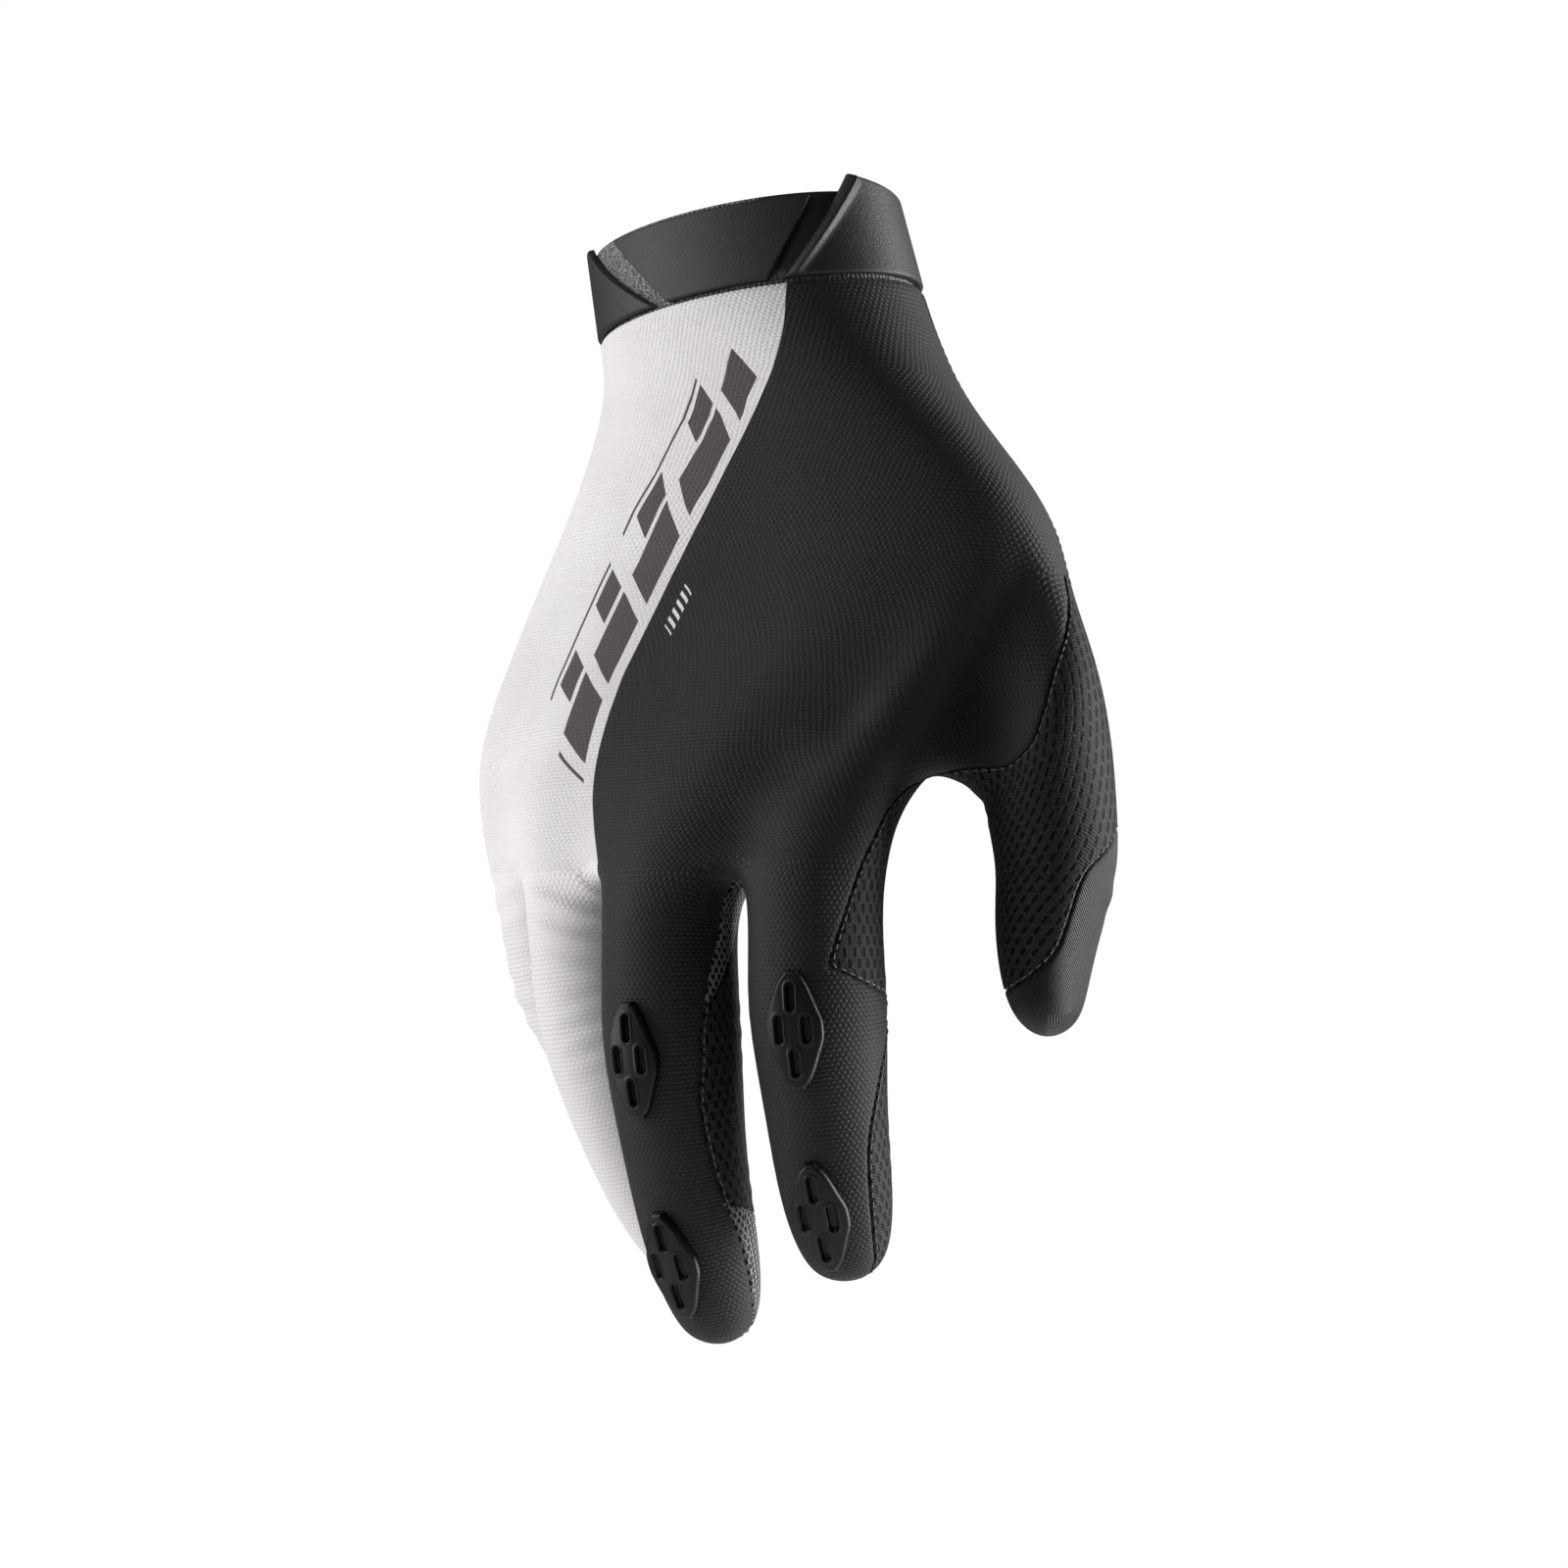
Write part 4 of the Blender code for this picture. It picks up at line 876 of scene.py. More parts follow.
class Finish:
    """A material, and short ways to add nodes to it."""

    def __init__(self, name, colour, roughness, sheen=0.0, shine=0.3):
        self.material = bpy.data.materials.new(name)
        self.material.use_nodes = True
        self.tree = self.material.node_tree
        self.shader = self.tree.nodes["Principled BSDF"]
        self.shader.inputs["Base Color"].default_value = (*colour, 1.0)
        self.shader.inputs["Roughness"].default_value = roughness
        self.shader.inputs["Sheen Weight"].default_value = sheen
        self.shader.inputs["Sheen Roughness"].default_value = 0.4
        self.shader.inputs["Specular IOR Level"].default_value = shine

    def add(self, kind, *values, **settings):
        """A node with its settings and first inputs: numbers, colours or other nodes' outputs."""
        made = self.tree.nodes.new("ShaderNode" + kind)
        for key, value in settings.items():
            setattr(made, key, value)
        for socket, value in zip(made.inputs, values):
            if isinstance(value, bpy.types.NodeSocket):
                self.tree.links.new(value, socket)
            elif value is not None:
                socket.default_value = value
        return made

    def math(self, operation, *values):
        return self.add("Math", *values, operation=operation).outputs[0]

    def cloth(self, name="cloth"):
        """Metres round and metres along, from one of the piece's maps."""
        split = self.add("SeparateXYZ", self.add("UVMap", uv_map=name).outputs[0])
        return split.outputs[0], split.outputs[1]

    def noise(self, scale, detail):
        """Noise in the piece's own place, so that it stays when the piece moves."""
        place = self.add("TexCoord").outputs["Object"]
        return self.add("TexNoise", place, None, scale, detail).outputs[0]

    def soft(self, value, low, high):
        """0 below low and 1 above high."""
        return self.add("MapRange", value, low, high, 0.0, 1.0).outputs[0]

    def mix(self, share, one, two):
        made = self.add("Mix", data_type="RGBA")
        for socket, value in ((made.inputs[0], share), (made.inputs[6], one), (made.inputs[7], two)):
            if isinstance(value, bpy.types.NodeSocket):
                self.tree.links.new(value, socket)
            else:
                socket.default_value = value if isinstance(value, float) else (*value, 1.0)
        return made.outputs[2]

    def ribs(self, place, pitch):
        """A wave from 0 to 1 with its crests one pitch apart."""
        turned = self.math("MULTIPLY", place, 2.0 * math.pi / pitch)
        return self.math("MULTIPLY_ADD", self.math("SINE", turned), 0.5, 0.5)

    def dashes(self, across, along, step_across, step_along, length, width, tilt):
        """0 in rows of staggered dashes with round ends, and 1 between them."""
        line = self.math("DIVIDE", along, step_along)
        odd = self.math("MULTIPLY", self.math("MODULO", self.math("FLOOR", line), 2.0), 0.5)
        column = self.math("ADD", self.math("DIVIDE", across, step_across), odd)
        x = self.math("MULTIPLY_ADD", self.math("FRACT", column), step_across, -0.5 * step_across)
        y = self.math("MULTIPLY_ADD", self.math("FRACT", line), step_along, -0.5 * step_along)
        cosine, sine = math.cos(tilt), math.sin(tilt)
        side = self.math("ADD", self.math("MULTIPLY", x, cosine), self.math("MULTIPLY", y, sine))
        run = self.math("SUBTRACT", self.math("MULTIPLY", y, cosine), self.math("MULTIPLY", x, sine))
        over = self.math("SUBTRACT", self.math("ABSOLUTE", run), 0.5 * (length - width))
        over = self.math("MAXIMUM", over, 0.0)
        square = self.math("ADD", self.math("POWER", over, 2.0), self.math("MULTIPLY", side, side))
        far = self.math("SQRT", square)
        return self.soft(far, 0.38 * width, 0.62 * width)

    def colour(self, output):
        self.tree.links.new(output, self.shader.inputs["Base Color"])

    def roughness(self, output):
        self.tree.links.new(output, self.shader.inputs["Roughness"])

    def relief(self, *heights):
        """Bump from pairs of a height from 0 to 1 and its depth in metres."""
        normal = None
        for height, depth in heights:
            bump = self.add("Bump")
            bump.inputs["Distance"].default_value = depth
            self.tree.links.new(height, bump.inputs["Height"])
            if normal:
                self.tree.links.new(normal, bump.inputs["Normal"])
            normal = bump.outputs[0]
        self.tree.links.new(normal, self.shader.inputs["Normal"])


# %% [markdown]
# The back is one piece of fine knit. Its courses run across the hand as low ribs, and every second stitch
# is shifted. On the white fingers a coarser basket weave takes over from the ribs. The white side is
# printed on the same cloth. Beside the print's edge runs a row of slanted grey blocks.

# %% Knit with its print
BLACK, WORN_BLACK = (0.0088, 0.0080, 0.0084), (0.0115, 0.0105, 0.0110)
WHITE, SHADED_WHITE, GREY = (0.80, 0.775, 0.79), (0.74, 0.71, 0.73), (0.075, 0.064, 0.070)
# The grey below is painted shade for the gaps between the basket weave's blocks on the white fingers.
GAP_SHADE_WHITE = (0.60, 0.575, 0.59)
knit = Finish("black_knit", BLACK, 0.62, sheen=0.05, shine=0.22)
across, along = knit.cloth()
RIB_PITCH, STITCH_PITCH = 0.00056, 0.00098
courses = knit.ribs(along, RIB_PITCH)
shift = knit.math("MULTIPLY", knit.math("FLOOR", knit.math("DIVIDE", along, RIB_PITCH)), 0.5 * STITCH_PITCH)
stitches = knit.ribs(knit.math("ADD", across, shift), STITCH_PITCH)
fine_weave = knit.math("MULTIPLY_ADD", stitches, 0.45, knit.math("MULTIPLY", courses, 0.55))
BASKET_ROW, BASKET_STEP = 0.00070, 0.00105

from_edge, down = knit.cloth("print")
printed = knit.soft(from_edge, -0.00006, 0.00006)
on_fingers = knit.math("MULTIPLY", knit.soft(down, 0.108, 0.122), printed)
basket_rows = knit.ribs(along, BASKET_ROW)
shift = knit.math("MULTIPLY", knit.math("FLOOR", knit.math("DIVIDE", along, BASKET_ROW)), 0.5 * BASKET_STEP)
basket = knit.math("MULTIPLY", knit.ribs(knit.math("ADD", across, shift), BASKET_STEP), basket_rows)
basket = knit.soft(basket, 0.02, 0.55)
weave = knit.add("Mix", on_fingers, fine_weave, basket).outputs[0]


def between(finish, value, low, high, blur=0.00006):
    """1 from low to high, and 0 outside."""
    rise = finish.soft(value, low - blur, low + blur)
    fall = finish.math("SUBTRACT", 1.0, finish.soft(value, high - blur, high + blur))
    return finish.math("MULTIPLY", rise, fall)


PrintRow = namedtuple("PrintRow", "side_low side_high pitch filled start end")
PRINT_SLANT = 0.9
GREY_ROWS = (
    PrintRow(0.0024, 0.0092, 0.0155, 0.80, 0.0200, 0.0940),
    PrintRow(0.0102, 0.0146, 0.0155, 0.46, 0.0260, 0.0930),
    PrintRow(0.0156, 0.0162, 0.0310, 0.86, 0.0300, 0.0900),
)
TICKS = PrintRow(-0.0056, -0.0034, 0.0016, 0.5, 0.0500, 0.0580)


def blocks(finish, side, down, row):
    """A row of slanted blocks along the print's edge."""
    leaning = finish.math("MULTIPLY_ADD", side, PRINT_SLANT, down)
    share = finish.math("FRACT", finish.math("DIVIDE", leaning, row.pitch))
    place = finish.math("MULTIPLY", share, row.pitch)
    filled = between(finish, place, 0.0001, row.filled * row.pitch)
    strip = finish.math("MULTIPLY", between(finish, side, row.side_low, row.side_high), filled)
    return finish.math("MULTIPLY", strip, between(finish, leaning, row.start, row.end))


graphic = blocks(knit, from_edge, down, GREY_ROWS[0])
for row in GREY_ROWS[1:]:
    graphic = knit.math("MAXIMUM", graphic, blocks(knit, from_edge, down, row))
ticks = blocks(knit, from_edge, down, TICKS)
cloudy = knit.noise(60.0, 3.0)
white = knit.mix(knit.soft(cloudy, 0.35, 0.75), SHADED_WHITE, WHITE)
# Painted shade: between the basket's blocks on the white fingers the white is painted greyer.
white = knit.mix(knit.math("MULTIPLY", on_fingers, knit.math("SUBTRACT", 1.0, basket)), white, GAP_SHADE_WHITE)
on_white = knit.mix(graphic, white, GREY)
on_black = knit.mix(ticks, knit.mix(knit.soft(cloudy, 0.3, 0.8), BLACK, WORN_BLACK), WHITE)
knit.colour(knit.mix(printed, on_black, on_white))
fuzz = knit.noise(2600.0, 2.0)
knit.relief((weave, 0.00011), (fuzz, 0.00007))

# %% [markdown]
# The palm and the thumb are a corded synthetic suede with punched dashes. The cords run slantwise, the
# holes stand in staggered rows and are painted near-black, as painted shade. The cloth between them is
# painted lighter on the crests of the cords, as a painted highlight, and lighter or darker in a random grain.

# %% Perforated cloth


def perforated(name, step_across, step_along, length, width, tilt):
    cloth = Finish(name, (0.02, 0.02, 0.02), 0.60, sheen=0.02, shine=0.10)
    across, along = cloth.cloth()
    holes = cloth.dashes(across, along, step_across, step_along, length, width, tilt)
    cords = cloth.ribs(cloth.math("MULTIPLY_ADD", across, 0.55, along), 0.00058)
    grain = cloth.noise(1500.0, 3.0)
    cord_highlight_and_grain = cloth.math("MULTIPLY_ADD", cords, 0.4, cloth.math("MULTIPLY", cloth.soft(grain, 0.35, 0.65), 0.6))
    # Painted highlight: the cloth is painted lighter on the crests of its cords, and it also varies in a
    # random grain.
    lit = cloth.mix(cord_highlight_and_grain, (0.0095, 0.0090, 0.0094), (0.0310, 0.0296, 0.0304))
    # Painted shade: the punched holes are painted near-black for the dark seen through them.
    cloth.colour(cloth.mix(holes, (0.0008, 0.0008, 0.0008), lit))
    cloth.relief((cords, 0.00006), (grain, 0.00010), (holes, 0.00090))
    return cloth.material


palm_finish = perforated("black_perforated", 0.0020, 0.0017, 0.0014, 0.00066, 0.10)
thumb_finish = perforated("black_perforated_fine", 0.0023, 0.00175, 0.00145, 0.00066, -0.60)

# %% [markdown]
# Between the fingers and at the middle finger's tip the glove breathes through an open mesh: rows of holes
# with thin bars between them. The dashes of the perforated cloth, made short and set close, give that net.

# %% Mesh and the thumb's tip
mesh_cloth = Finish("black_mesh", (0.03, 0.03, 0.03), 0.50, sheen=0.03, shine=0.15)
across, along = mesh_cloth.cloth()
net = mesh_cloth.dashes(across, along, 0.00130, 0.00105, 0.00098, 0.00074, 0.0)
# Painted light: the thin bars are painted light grey as a painted highlight, and the holes near-black as
# painted shade for the dark seen through them.
mesh_cloth.colour(mesh_cloth.mix(net, (0.0010, 0.0010, 0.0010), (0.170, 0.164, 0.168)))
mesh_cloth.relief((net, 0.00050))

tip_cloth = Finish("tip_knit", BLACK, 0.55, sheen=0.06, shine=0.3)
across, along = tip_cloth.cloth()
slanted = tip_cloth.ribs(tip_cloth.math("MULTIPLY_ADD", across, 1.2, along), 0.00062)
tip_cloth.colour(tip_cloth.mix(slanted, (0.0030, 0.0028, 0.0030), (0.0080, 0.0076, 0.0079)))
tip_cloth.relief((slanted, 0.00012))

# %% Place the panels
PANEL_FINISHES = {
    "knit_back": (knit.material, "black_knit"),
    "palm": (palm_finish, "black_perforated"),
    "thumb_wrap": (thumb_finish, "black_perforated"),
    "thumb_tip": (tip_cloth.material, "black_knit"),
}
for name, mesh in panel_meshes.items():
    finish, slot = PANEL_FINISHES.get(name, (mesh_cloth.material, "black_mesh"))
    put(name + "_cloth", mesh, finish, name)

# %% [markdown]
# The panels are joined with thread. A seam's edges in the skin give its line, which is moved a little onto
# one panel. A Geometry Nodes tree then walks each line in equal steps and sets a stitch on it, turned along
# the line and slightly uneven, as a sewing machine leaves them.

# %% Lines beside the seams
STITCHED = (
    ("palm", "knit_back"), ("fingertip_mesh", "knit_back"), ("fourchette_index_middle", "knit_back"),
    ("fourchette_middle_ring", "knit_back"), ("fourchette_ring_little", "knit_back"),
    ("thumb_wrap", "knit_back"), ("thumb_wrap", "thumb_tip"), ("fingertip_mesh", "palm"),
)
STITCH_INSET, STITCH_LENGTH, STITCH_WIDTH, STITCH_STEP = 0.00045, 0.0011, 0.00020, 0.0016


def seam_line(on, beside):
    """Points and edges of a line on one panel, beside its seam with another."""
    ours, theirs = PANELS.index(on), PANELS.index(beside)
    found, places, pairs = {}, [], []
    for edge in seam_edges(skin.mesh):
        faces = {face[panel_layer]: face for face in edge.link_faces}
        if set(faces) != {ours, theirs}:
            continue
        along_edge = (edge.verts[1].co - edge.verts[0].co).normalized()
        inward = faces[ours].calc_center_median() - edge.verts[0].co
        inward = (inward - along_edge * inward.dot(along_edge)).normalized()
        for vert in edge.verts:
            found.setdefault(vert, []).append(inward)
        pairs.append(tuple(edge.verts))
    numbers = {vert: i for i, vert in enumerate(found)}
    for vert, sides in found.items():
        side = sum(sides, Vector()).normalized()
        places.append(vert.co + side * STITCH_INSET)
    return places, [(numbers[one], numbers[two]) for one, two in pairs]


def stitch_lines():
    places, pairs = [], []
    for on, beside in STITCHED:
        line_places, line_pairs = seam_line(on, beside)
        pairs += [(one + len(places), two + len(places)) for one, two in line_pairs]
        places += line_places
    mesh = bpy.data.meshes.new("stitch_lines")
    mesh.from_pydata(places, pairs, [])
    print("stitched seams:", round(1000 * sum((places[a] - places[b]).length for a, b in pairs)), "mm")
    return mesh


# %% Stitches along them


def stitch_tree():
    """Geometry Nodes: lines in, a stitch at each step along them out."""
    tree = bpy.data.node_groups.new("stitches_along_lines", "GeometryNodeTree")
    floats = [(name, "Float") for name in ("Step", "Length", "Width", "Uneven")]
    for name, kind in [("Lines", "Geometry"), *floats, ("Thread", "Material")]:
        tree.interface.new_socket(name, in_out="INPUT", socket_type="NodeSocket" + kind)
    tree.interface.new_socket("Stitches", in_out="OUTPUT", socket_type="NodeSocketGeometry")

    def add(kind, inputs, **settings):
        """A node's outputs, after its settings and inputs: values, or other nodes' outputs."""
        made = tree.nodes.new(kind)
        for key, value in settings.items():
            setattr(made, key, value)
        for key, value in inputs.items():
            if isinstance(value, bpy.types.NodeSocket):
                tree.links.new(value, made.inputs[key])
            else:
                made.inputs[key].default_value = value
        return made.outputs

    given = tree.nodes.new("NodeGroupInput").outputs
    curves = add("GeometryNodeMeshToCurve", {0: given["Lines"]})
    steps = add("GeometryNodeResampleCurve", {"Curve": curves[0], "Length": given["Step"]}, mode="LENGTH")
    bead = add("GeometryNodeMeshUVSphere", {"Segments": 6, "Rings": 5, "Radius": 0.5})
    tangent = add("GeometryNodeInputTangent", {})
    turn = add("FunctionNodeAlignRotationToVector", {"Vector": tangent[0]}, axis="Z")
    low = add("ShaderNodeMath", {0: 1.0, 1: given["Uneven"]}, operation="SUBTRACT")
    high = add("ShaderNodeMath", {0: 1.0, 1: given["Uneven"]}, operation="ADD")
    chance = add("FunctionNodeRandomValue", {2: low[0], 3: high[0], "Seed": 7}, data_type="FLOAT")
    longer = add("ShaderNodeMath", {0: given["Length"], 1: chance[1]}, operation="MULTIPLY")
    size = add("ShaderNodeCombineXYZ", {"X": given["Width"], "Y": given["Width"], "Z": longer[0]})
    placing = {"Points": steps[0], "Instance": bead[0], "Rotation": turn[0], "Scale": size[0]}
    spread = add("GeometryNodeInstanceOnPoints", placing)
    real = add("GeometryNodeRealizeInstances", {0: spread[0]})
    smooth = add("GeometryNodeSetShadeSmooth", {0: real[0]})
    dressed = add("GeometryNodeSetMaterial", {0: smooth[0], "Material": given["Thread"]})
    add("NodeGroupOutput", {0: dressed[0]})
    return tree


def grown(name, mesh, tree, settings):
    """The mesh that a Geometry Nodes tree makes of another, with its named inputs set."""
    thing = bpy.data.objects.new(name, mesh)
    scene.collection.objects.link(thing)
    live = thing.modifiers.new("grown", "NODES")
    live.node_group = tree
    for item in tree.interface.items_tree:
        if item.in_out == "INPUT" and item.name in settings:
            live[item.identifier] = settings[item.name]
    thing.update_tag()
    made = evaluated_mesh(thing)
    bpy.data.objects.remove(thing)
    return made


thread = Finish("grey_thread", (0.120, 0.115, 0.118), 0.45, sheen=0.2, shine=0.4)
stitch_sizes = {"Step": STITCH_STEP, "Length": STITCH_LENGTH, "Width": STITCH_WIDTH, "Uneven": 0.12}
stitch_settings = stitch_sizes | {"Thread": thread.material}
stitch_mesh = grown("stitch_lines", stitch_lines(), stitch_tree(), stitch_settings)
print("stitches:", len(stitch_mesh.polygons), "faces")
put("seam_stitches", stitch_mesh, thread.material, None)

# %% [markdown]
# The cuff is a pull-on band of elastic with three rubber panels moulded to its outside. The band is a
# profile turned round the wrist. A panel is a patch of the same surface: its height above the band depends
# on how far a place is from the panel's outline, which gives a rolled edge that is the same on all four
# sides.

# %% Cuff sizes
CUFF_PANEL_WALL, CUFF_WALL, FIT_GAP, CUFF_PANEL_EDGE = 0.0011, 0.0014, 0.0004, 0.0008
CuffPanel = namedtuple("CuffPanel", "name bottom_start bottom_end top_start top_end rise_start rise_end bead")
CUFF_PANELS = (
    CuffPanel("cuff_thumb_panel", -128.0, 48.0, -128.0, 13.0, 0.0, 0.0037, 0.0009),
    CuffPanel("cuff_back_panel", 53.5, 90.5, 31.5, 113.0, 0.0, 0.0, 0.0),
    CuffPanel("cuff_side_panel", 96.0, 222.0, 140.0, 222.0, 0.0018, 0.0, 0.0),
)


def cuff_point(angle, height, out):
    """An angle in degrees, a height over the wrist seam, and how far outside the band."""
    up = height / CUFF_HEIGHT
    inset = CUFF_PANEL_WALL + FIT_GAP + CUFF_TAPER * up - out
    turn = math.radians(angle)
    x = (0.5 * WRIST_BREADTH - inset) * math.cos(turn) + CUFF_SKEW_SIDE * (1.0 - up)
    y = -(0.5 * WRIST_DEPTH - inset) * math.sin(turn) + CUFF_SKEW_PALM * (1.0 - up)
    return cuff_tilt() @ Vector((x, y, height - CUFF_HEIGHT))


def sheet_of_quads(name, columns, closed_round, closed_up, places=None):
    """A mesh through columns of points, with a map in metres from the places."""
    sheet = bmesh.new()
    cloth = sheet.loops.layers.uv.new("cloth")
    verts = [[sheet.verts.new(point) for point in column] for column in columns]
    rounds = len(columns) if closed_round else len(columns) - 1
    ups = len(columns[0]) if closed_up else len(columns[0]) - 1
    for i in range(rounds):
        for j in range(ups):
            corners = ((i, j), (i + 1, j), (i + 1, j + 1), (i, j + 1))
            face = sheet.faces.new([verts[a % len(verts)][b % len(columns[0])] for a, b in corners])
            face.smooth = True
            for loop, (a, b) in zip(face.loops, corners):
                loop[cloth].uv = places(a, b)
    bmesh.ops.recalc_face_normals(sheet, faces=sheet.faces[:])
    mesh = bpy.data.meshes.new(name)
    sheet.to_mesh(mesh)
    sheet.free()
    return mesh


# %% The elastic band
BAND_ROUND = 240
ROUNDING = 0.00045
BAND_STEP = (CUFF_HEIGHT - ROUNDING) / 14.0
corner = [math.pi / 2.0 * k / 4.0 for k in range(5)]
top, thick = CUFF_HEIGHT, CUFF_WALL
BAND_PROFILE = (
    [(0.00005 + k * BAND_STEP, 0.0) for k in range(14)]
    + [(top - ROUNDING + ROUNDING * math.sin(a), -ROUNDING + ROUNDING * math.cos(a)) for a in corner]
    + [(top - ROUNDING + ROUNDING * math.cos(a), -thick + ROUNDING - ROUNDING * math.sin(a)) for a in corner]
    + [(top - ROUNDING - k * (top - ROUNDING) / 8.0, -thick) for k in range(1, 9)]
)
band_angles = [-360.0 * i / BAND_ROUND for i in range(BAND_ROUND)]
band_columns = [[cuff_point(angle, height, out) for height, out in BAND_PROFILE] for angle in band_angles]
round_length = sum((b[0] - a[0]).length for a, b in zip(band_columns, band_columns[1:] + band_columns[:1]))
band_mesh = sheet_of_quads(
    "cuff_band", band_columns, True, True, lambda a, b: (a / BAND_ROUND * round_length, b * BAND_STEP)
)
print("band, round its outside:", round(1000 * round_length), "mm")

WEDGE_START, WEDGE_END, WEDGE_BOTTOM = 17.0, 51.0, 0.0030
elastic = Finish("grey_elastic", (0.1, 0.1, 0.1), 0.55, sheen=0.1)
across, along = elastic.cloth()
speckle = elastic.noise(3800.0, 1.0)
threads = elastic.ribs(across, 0.0009)
woven = elastic.mix(elastic.soft(speckle, 0.47, 0.58), (0.014, 0.0135, 0.014), (0.270, 0.260, 0.265))
# Painted shade: in the wedge between the thumb panel and the back panel, the band is painted near-black from
# about 1.6 to 3 mm above its foot upwards, and its threads and speckle get no bumps there.
wedge_places = [(360.0 - angle) / 360.0 * round_length for angle in (WEDGE_END, WEDGE_START)]
on_wedge = between(elastic, across, *wedge_places)
wedge_shade = elastic.math("MULTIPLY", on_wedge, elastic.soft(along, 0.0016, WEDGE_BOTTOM))
elastic.colour(elastic.mix(wedge_shade, woven, (0.0105, 0.0100, 0.0103)))
outside_wedge_shade = elastic.math("SUBTRACT", 1.0, wedge_shade)
threads, speckle = (elastic.math("MULTIPLY", height, outside_wedge_shade) for height in (threads, speckle))
elastic.relief((threads, 0.00012), (speckle, 0.00014))
put("cuff_elastic", band_mesh, elastic.material, "cuff_band")

# %% The moulded panels
PANEL_ROUND, RIM_SHARE = 0.0004, 0.25
BEAD_INSET, BEAD_SPREAD, BEAD_RISE = 0.0010, 0.0007, 0.0006


def eased(count):
    """Shares from 0 to 1 that lie closer together near both ends."""
    return [0.5 - 0.5 * math.cos(math.pi * k / count) for k in range(count + 1)]


def from_segment(point, one, two):
    line = two - one
    share = min(1.0, max(0.0, (point - one).dot(line) / line.dot(line)))
    return (point - one - line * share).length


def cuff_panel_mesh(panel, across_count, up_count):
    metre_round = math.radians(1.0) * 0.25 * (WRIST_BREADTH + WRIST_DEPTH)
    outline = [(panel.bottom_start, 0), (panel.bottom_end, 0), (panel.top_end, 1), (panel.top_start, 1)]
    tall = CUFF_HEIGHT - 2.0 * CUFF_PANEL_EDGE
    flat = [Vector((angle * metre_round, up * tall)) for angle, up in outline]
    columns, places = [], []
    for s in eased(across_count):
        bottom = panel.bottom_start + (panel.bottom_end - panel.bottom_start) * s
        top = panel.top_start + (panel.top_end - panel.top_start) * s
        rise = panel.rise_start * (1.0 - s) ** 3 + panel.rise_end * s ** 3
        outer, inner, place = [], [], []
        for t in eased(up_count):
            angle = bottom + (top - bottom) * t
            height = CUFF_PANEL_EDGE + (tall + rise) * t
            here = Vector((angle * metre_round, t * tall))
            edges = [from_segment(here, flat[k], flat[(k + 1) % 4]) for k in range(4)]
            near = min(edges)
            inside = min(1.0, near / PANEL_ROUND)
            rim = math.sqrt(1.0 - (1.0 - inside) ** 2)
            out = CUFF_PANEL_WALL * (RIM_SHARE + (1.0 - RIM_SHARE) * rim)
            bead = math.exp(-(((edges[1] - BEAD_INSET) / BEAD_SPREAD) ** 2))
            out += panel.bead * bead * min(1.0, near / BEAD_RISE)
            outer.append(cuff_point(angle, height, FIT_GAP + out))
            inner.append(cuff_point(angle, height, 0.5 * FIT_GAP))
            place.append((here.x, here.y))
        columns.append(outer + inner[::-1])
        places.append(place + place[::-1])
    mesh = sheet_of_quads(panel.name, columns, False, True, lambda a, b: places[a][b % len(places[a])])
    work = bmesh.new()
    work.from_mesh(mesh)
    half = len(columns[0])
    work.verts.ensure_lookup_table()
    for start in (0, (len(columns) - 1) * half):
        for k in range(half // 2 - 1):
            quad = [start + k, start + k + 1, start + half - 2 - k, start + half - 1 - k]
            work.faces.new([work.verts[i] for i in quad]).smooth = True
    bmesh.ops.recalc_face_normals(work, faces=work.faces[:])
    work.to_mesh(mesh)
    work.free()
    return mesh


rubber = Finish("cuff_rubber", (0.026, 0.023, 0.024), 0.52, shine=0.3)
grain = rubber.noise(3200.0, 2.0)
rubber.colour(rubber.mix(rubber.soft(grain, 0.35, 0.70), (0.0125, 0.0108, 0.0115), (0.0215, 0.0187, 0.0197)))
rubber.relief((grain, 0.00010))
for panel, across_count in zip(CUFF_PANELS, (150, 70, 110)):
    moulded = cuff_panel_mesh(panel, across_count, 30)
    put(panel.name + "_rubber", moulded, rubber.material, panel.name)

# %% [markdown]
# The pads on the index and middle fingers are thin rubber, moulded with four recesses. A coarse sheet is
# let down on the finger and subdivided, which keeps it smooth, and then each point is lifted by the pad's
# height at its place in the flat pattern: full inside, rounded at the rim, lower in the recesses.

# %% Pads
PAD_WALL, PAD_WIDTH, PAD_LENGTH = 0.0013, 0.0092, 0.0190
SLOT_WIDTH, SLOT_LENGTH, SLOT_DEPTH = 0.0012, 0.0044, 0.0009
SLOT_STEP_ALONG, SLOT_STEP_ACROSS = 0.0053, 0.0021
LIP_HEIGHT, LIP_PLACE, LIP_SPREAD = 0.00012, 0.00030, 0.00016
PAD_ACROSS, PAD_ALONG, PAD_LEVEL, PAD_RIM = 10, 20, 3, 0.0007
Pad = namedtuple("Pad", "name finger along")
PADS = (
    Pad("index_knuckle_pad", 0, 0.35), Pad("index_tip_pad", 0, 0.77),
    Pad("middle_knuckle_pad", 1, 0.345), Pad("middle_tip_pad", 1, 0.755),
)
SLOTS = ((0.0, 1.0), (-1.0, 0.05), (1.0, 0.05), (0.0, -0.95))


def pad_outline(up):
    return max(0.20, min(1.0, 1.10 - 0.72 * abs(up)) * math.sqrt(max(0.0, 1.0 - abs(up) ** 9)))


def pad_place(pad):
    """Where a pad's flat pattern floats over its finger: X across it and Y up it."""
    finger = FINGERS[pad.finger]
    centre, direction, back = finger_stations(finger, [pad.along])[0]
    turn = Matrix((finger_frame(finger)[2], -direction, back)).transposed().to_4x4()
    return Matrix.Translation(centre + back * FINGER_DEPTH) @ turn


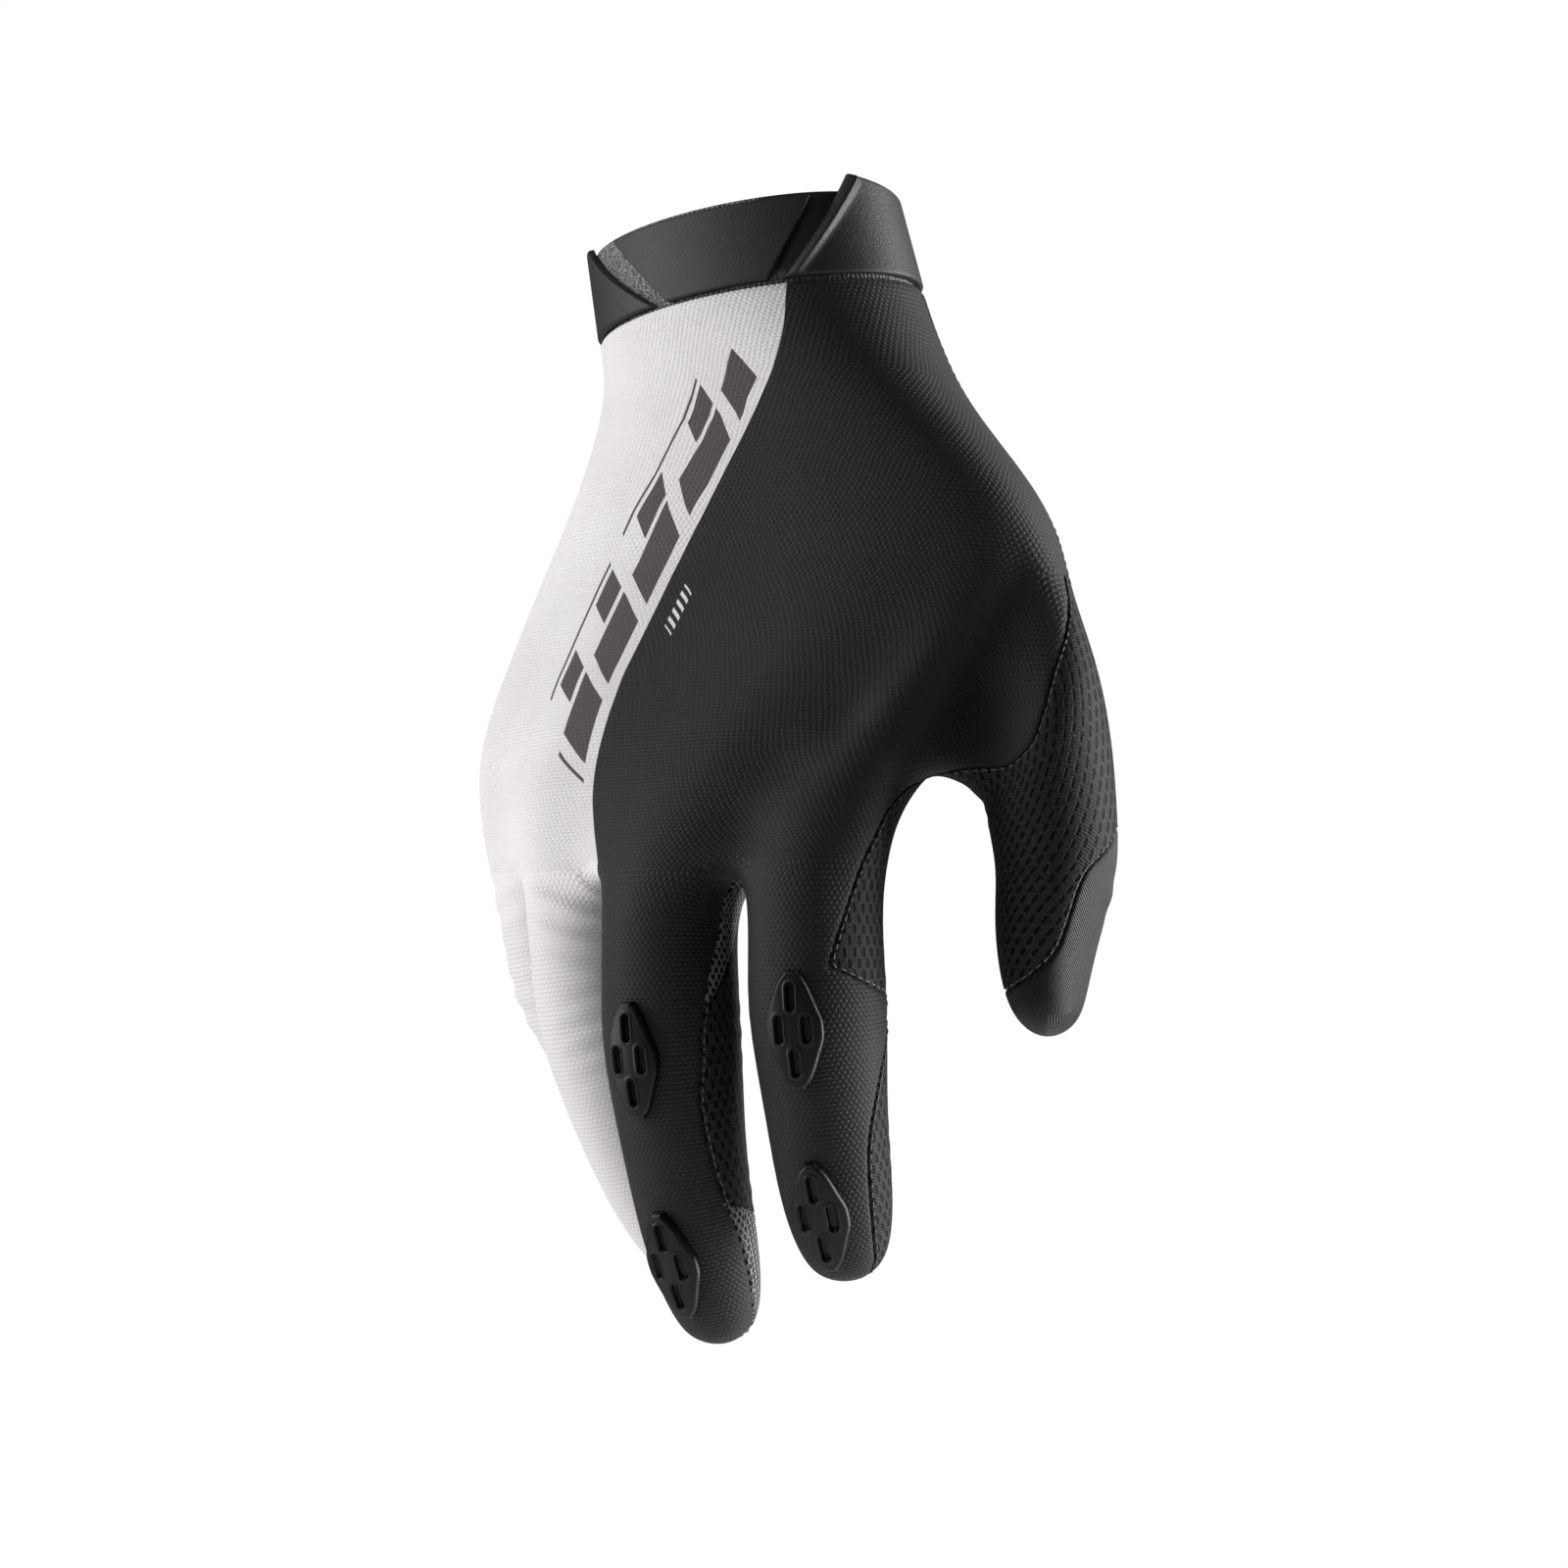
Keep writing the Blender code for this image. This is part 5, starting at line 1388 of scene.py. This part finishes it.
def pad_height(x, y, rim):
    """How far the pad stands over the cloth at a place of its pattern, and at a distance from its rim."""
    inside = min(1.0, rim / PAD_RIM)
    height = PAD_WALL * (0.15 + 0.85 * math.sqrt(1.0 - (1.0 - inside) ** 2))
    for across, up in SLOTS:
        dx = x - across * SLOT_STEP_ACROSS
        dy = max(0.0, abs(y - up * SLOT_STEP_ALONG) - 0.5 * (SLOT_LENGTH - SLOT_WIDTH))
        far = math.hypot(dx, dy)
        height -= SLOT_DEPTH * (1.0 - smooth_step((far - 0.42 * SLOT_WIDTH) / 0.00022))
        height += LIP_HEIGHT * math.exp(-(((far - 0.5 * SLOT_WIDTH - LIP_PLACE) / LIP_SPREAD) ** 2))
    return height


skin_tree = BVHTree.FromBMesh(skin.mesh)


def pad_mesh(pad):
    place = pad_place(pad)
    down = -(place.to_3x3() @ Vector((0.0, 0.0, 1.0)))
    sheet = bmesh.new()
    pattern = sheet.loops.layers.uv.new("cloth")
    grid, flat = [], []
    for i in range(PAD_ACROSS + 1):
        across = 2.0 * i / PAD_ACROSS - 1.0
        column, spots = [], []
        for j in range(PAD_ALONG + 1):
            up = math.sin(0.5 * math.pi * (2.0 * j / PAD_ALONG - 1.0))
            spot = Vector((0.5 * PAD_WIDTH * pad_outline(up) * across, 0.5 * PAD_LENGTH * up, 0.0))
            hit = skin_tree.ray_cast(place @ spot, down)[0]
            column.append(sheet.verts.new(hit))
            spots.append(spot)
        grid.append(column)
        flat.append(spots)
    for i in range(PAD_ACROSS):
        for j in range(PAD_ALONG):
            corners = ((i, j), (i + 1, j), (i + 1, j + 1), (i, j + 1))
            face = sheet.faces.new([grid[a][b] for a, b in corners])
            face.smooth = True
            for loop, (a, b) in zip(face.loops, corners):
                loop[pattern].uv = flat[a][b].xy
    mesh = bpy.data.meshes.new(pad.name)
    sheet.to_mesh(mesh)
    sheet.free()
    rough = bpy.data.objects.new(pad.name + "_sheet", mesh)
    scene.collection.objects.link(rough)
    finer = rough.modifiers.new("finer", "SUBSURF")
    finer.levels = finer.render_levels = PAD_LEVEL
    finer.uv_smooth = "PRESERVE_BOUNDARIES"
    work = bmesh.new()
    work.from_mesh(evaluated_mesh(rough))
    bpy.data.objects.remove(rough)
    pattern = work.loops.layers.uv["cloth"]
    work.normal_update()
    spots = {vert: vert.link_loops[0][pattern].uv.copy() for vert in work.verts}
    rim = [spots[vert] for vert in work.verts if vert.is_boundary]
    tree = KDTree(len(rim))
    for i, spot in enumerate(rim):
        tree.insert((spot.x, spot.y, 0.0), i)
    tree.balance()
    facing = 1.0 if sum((face.normal for face in work.faces), Vector()).dot(-down) > 0.0 else -1.0
    tops = {}
    for vert, spot in spots.items():
        far = tree.find((spot.x, spot.y, 0.0))[2]
        tops[vert] = vert.normal * facing * (0.5 * FIT_GAP + pad_height(spot.x, spot.y, far))
    top_verts = list(work.verts)
    bmesh.ops.extrude_face_region(work, geom=work.faces[:], use_keep_orig=True)
    for vert in top_verts:
        vert.co += tops[vert]
    bmesh.ops.recalc_face_normals(work, faces=work.faces[:])
    made = bpy.data.meshes.new(pad.name)
    work.to_mesh(made)
    work.free()
    return made


pad_rubber = Finish("pad_rubber", (0.0034, 0.0031, 0.0033), 0.40, shine=0.22)
fine = pad_rubber.noise(3000.0, 2.0)
pad_rubber.roughness(pad_rubber.add("MapRange", fine, 0.3, 0.7, 0.32, 0.46).outputs[0])
pad_rubber.relief((fine, 0.00002))
for pad in PADS:
    put(pad.name + "_rubber", pad_mesh(pad), pad_rubber.material, pad.name)
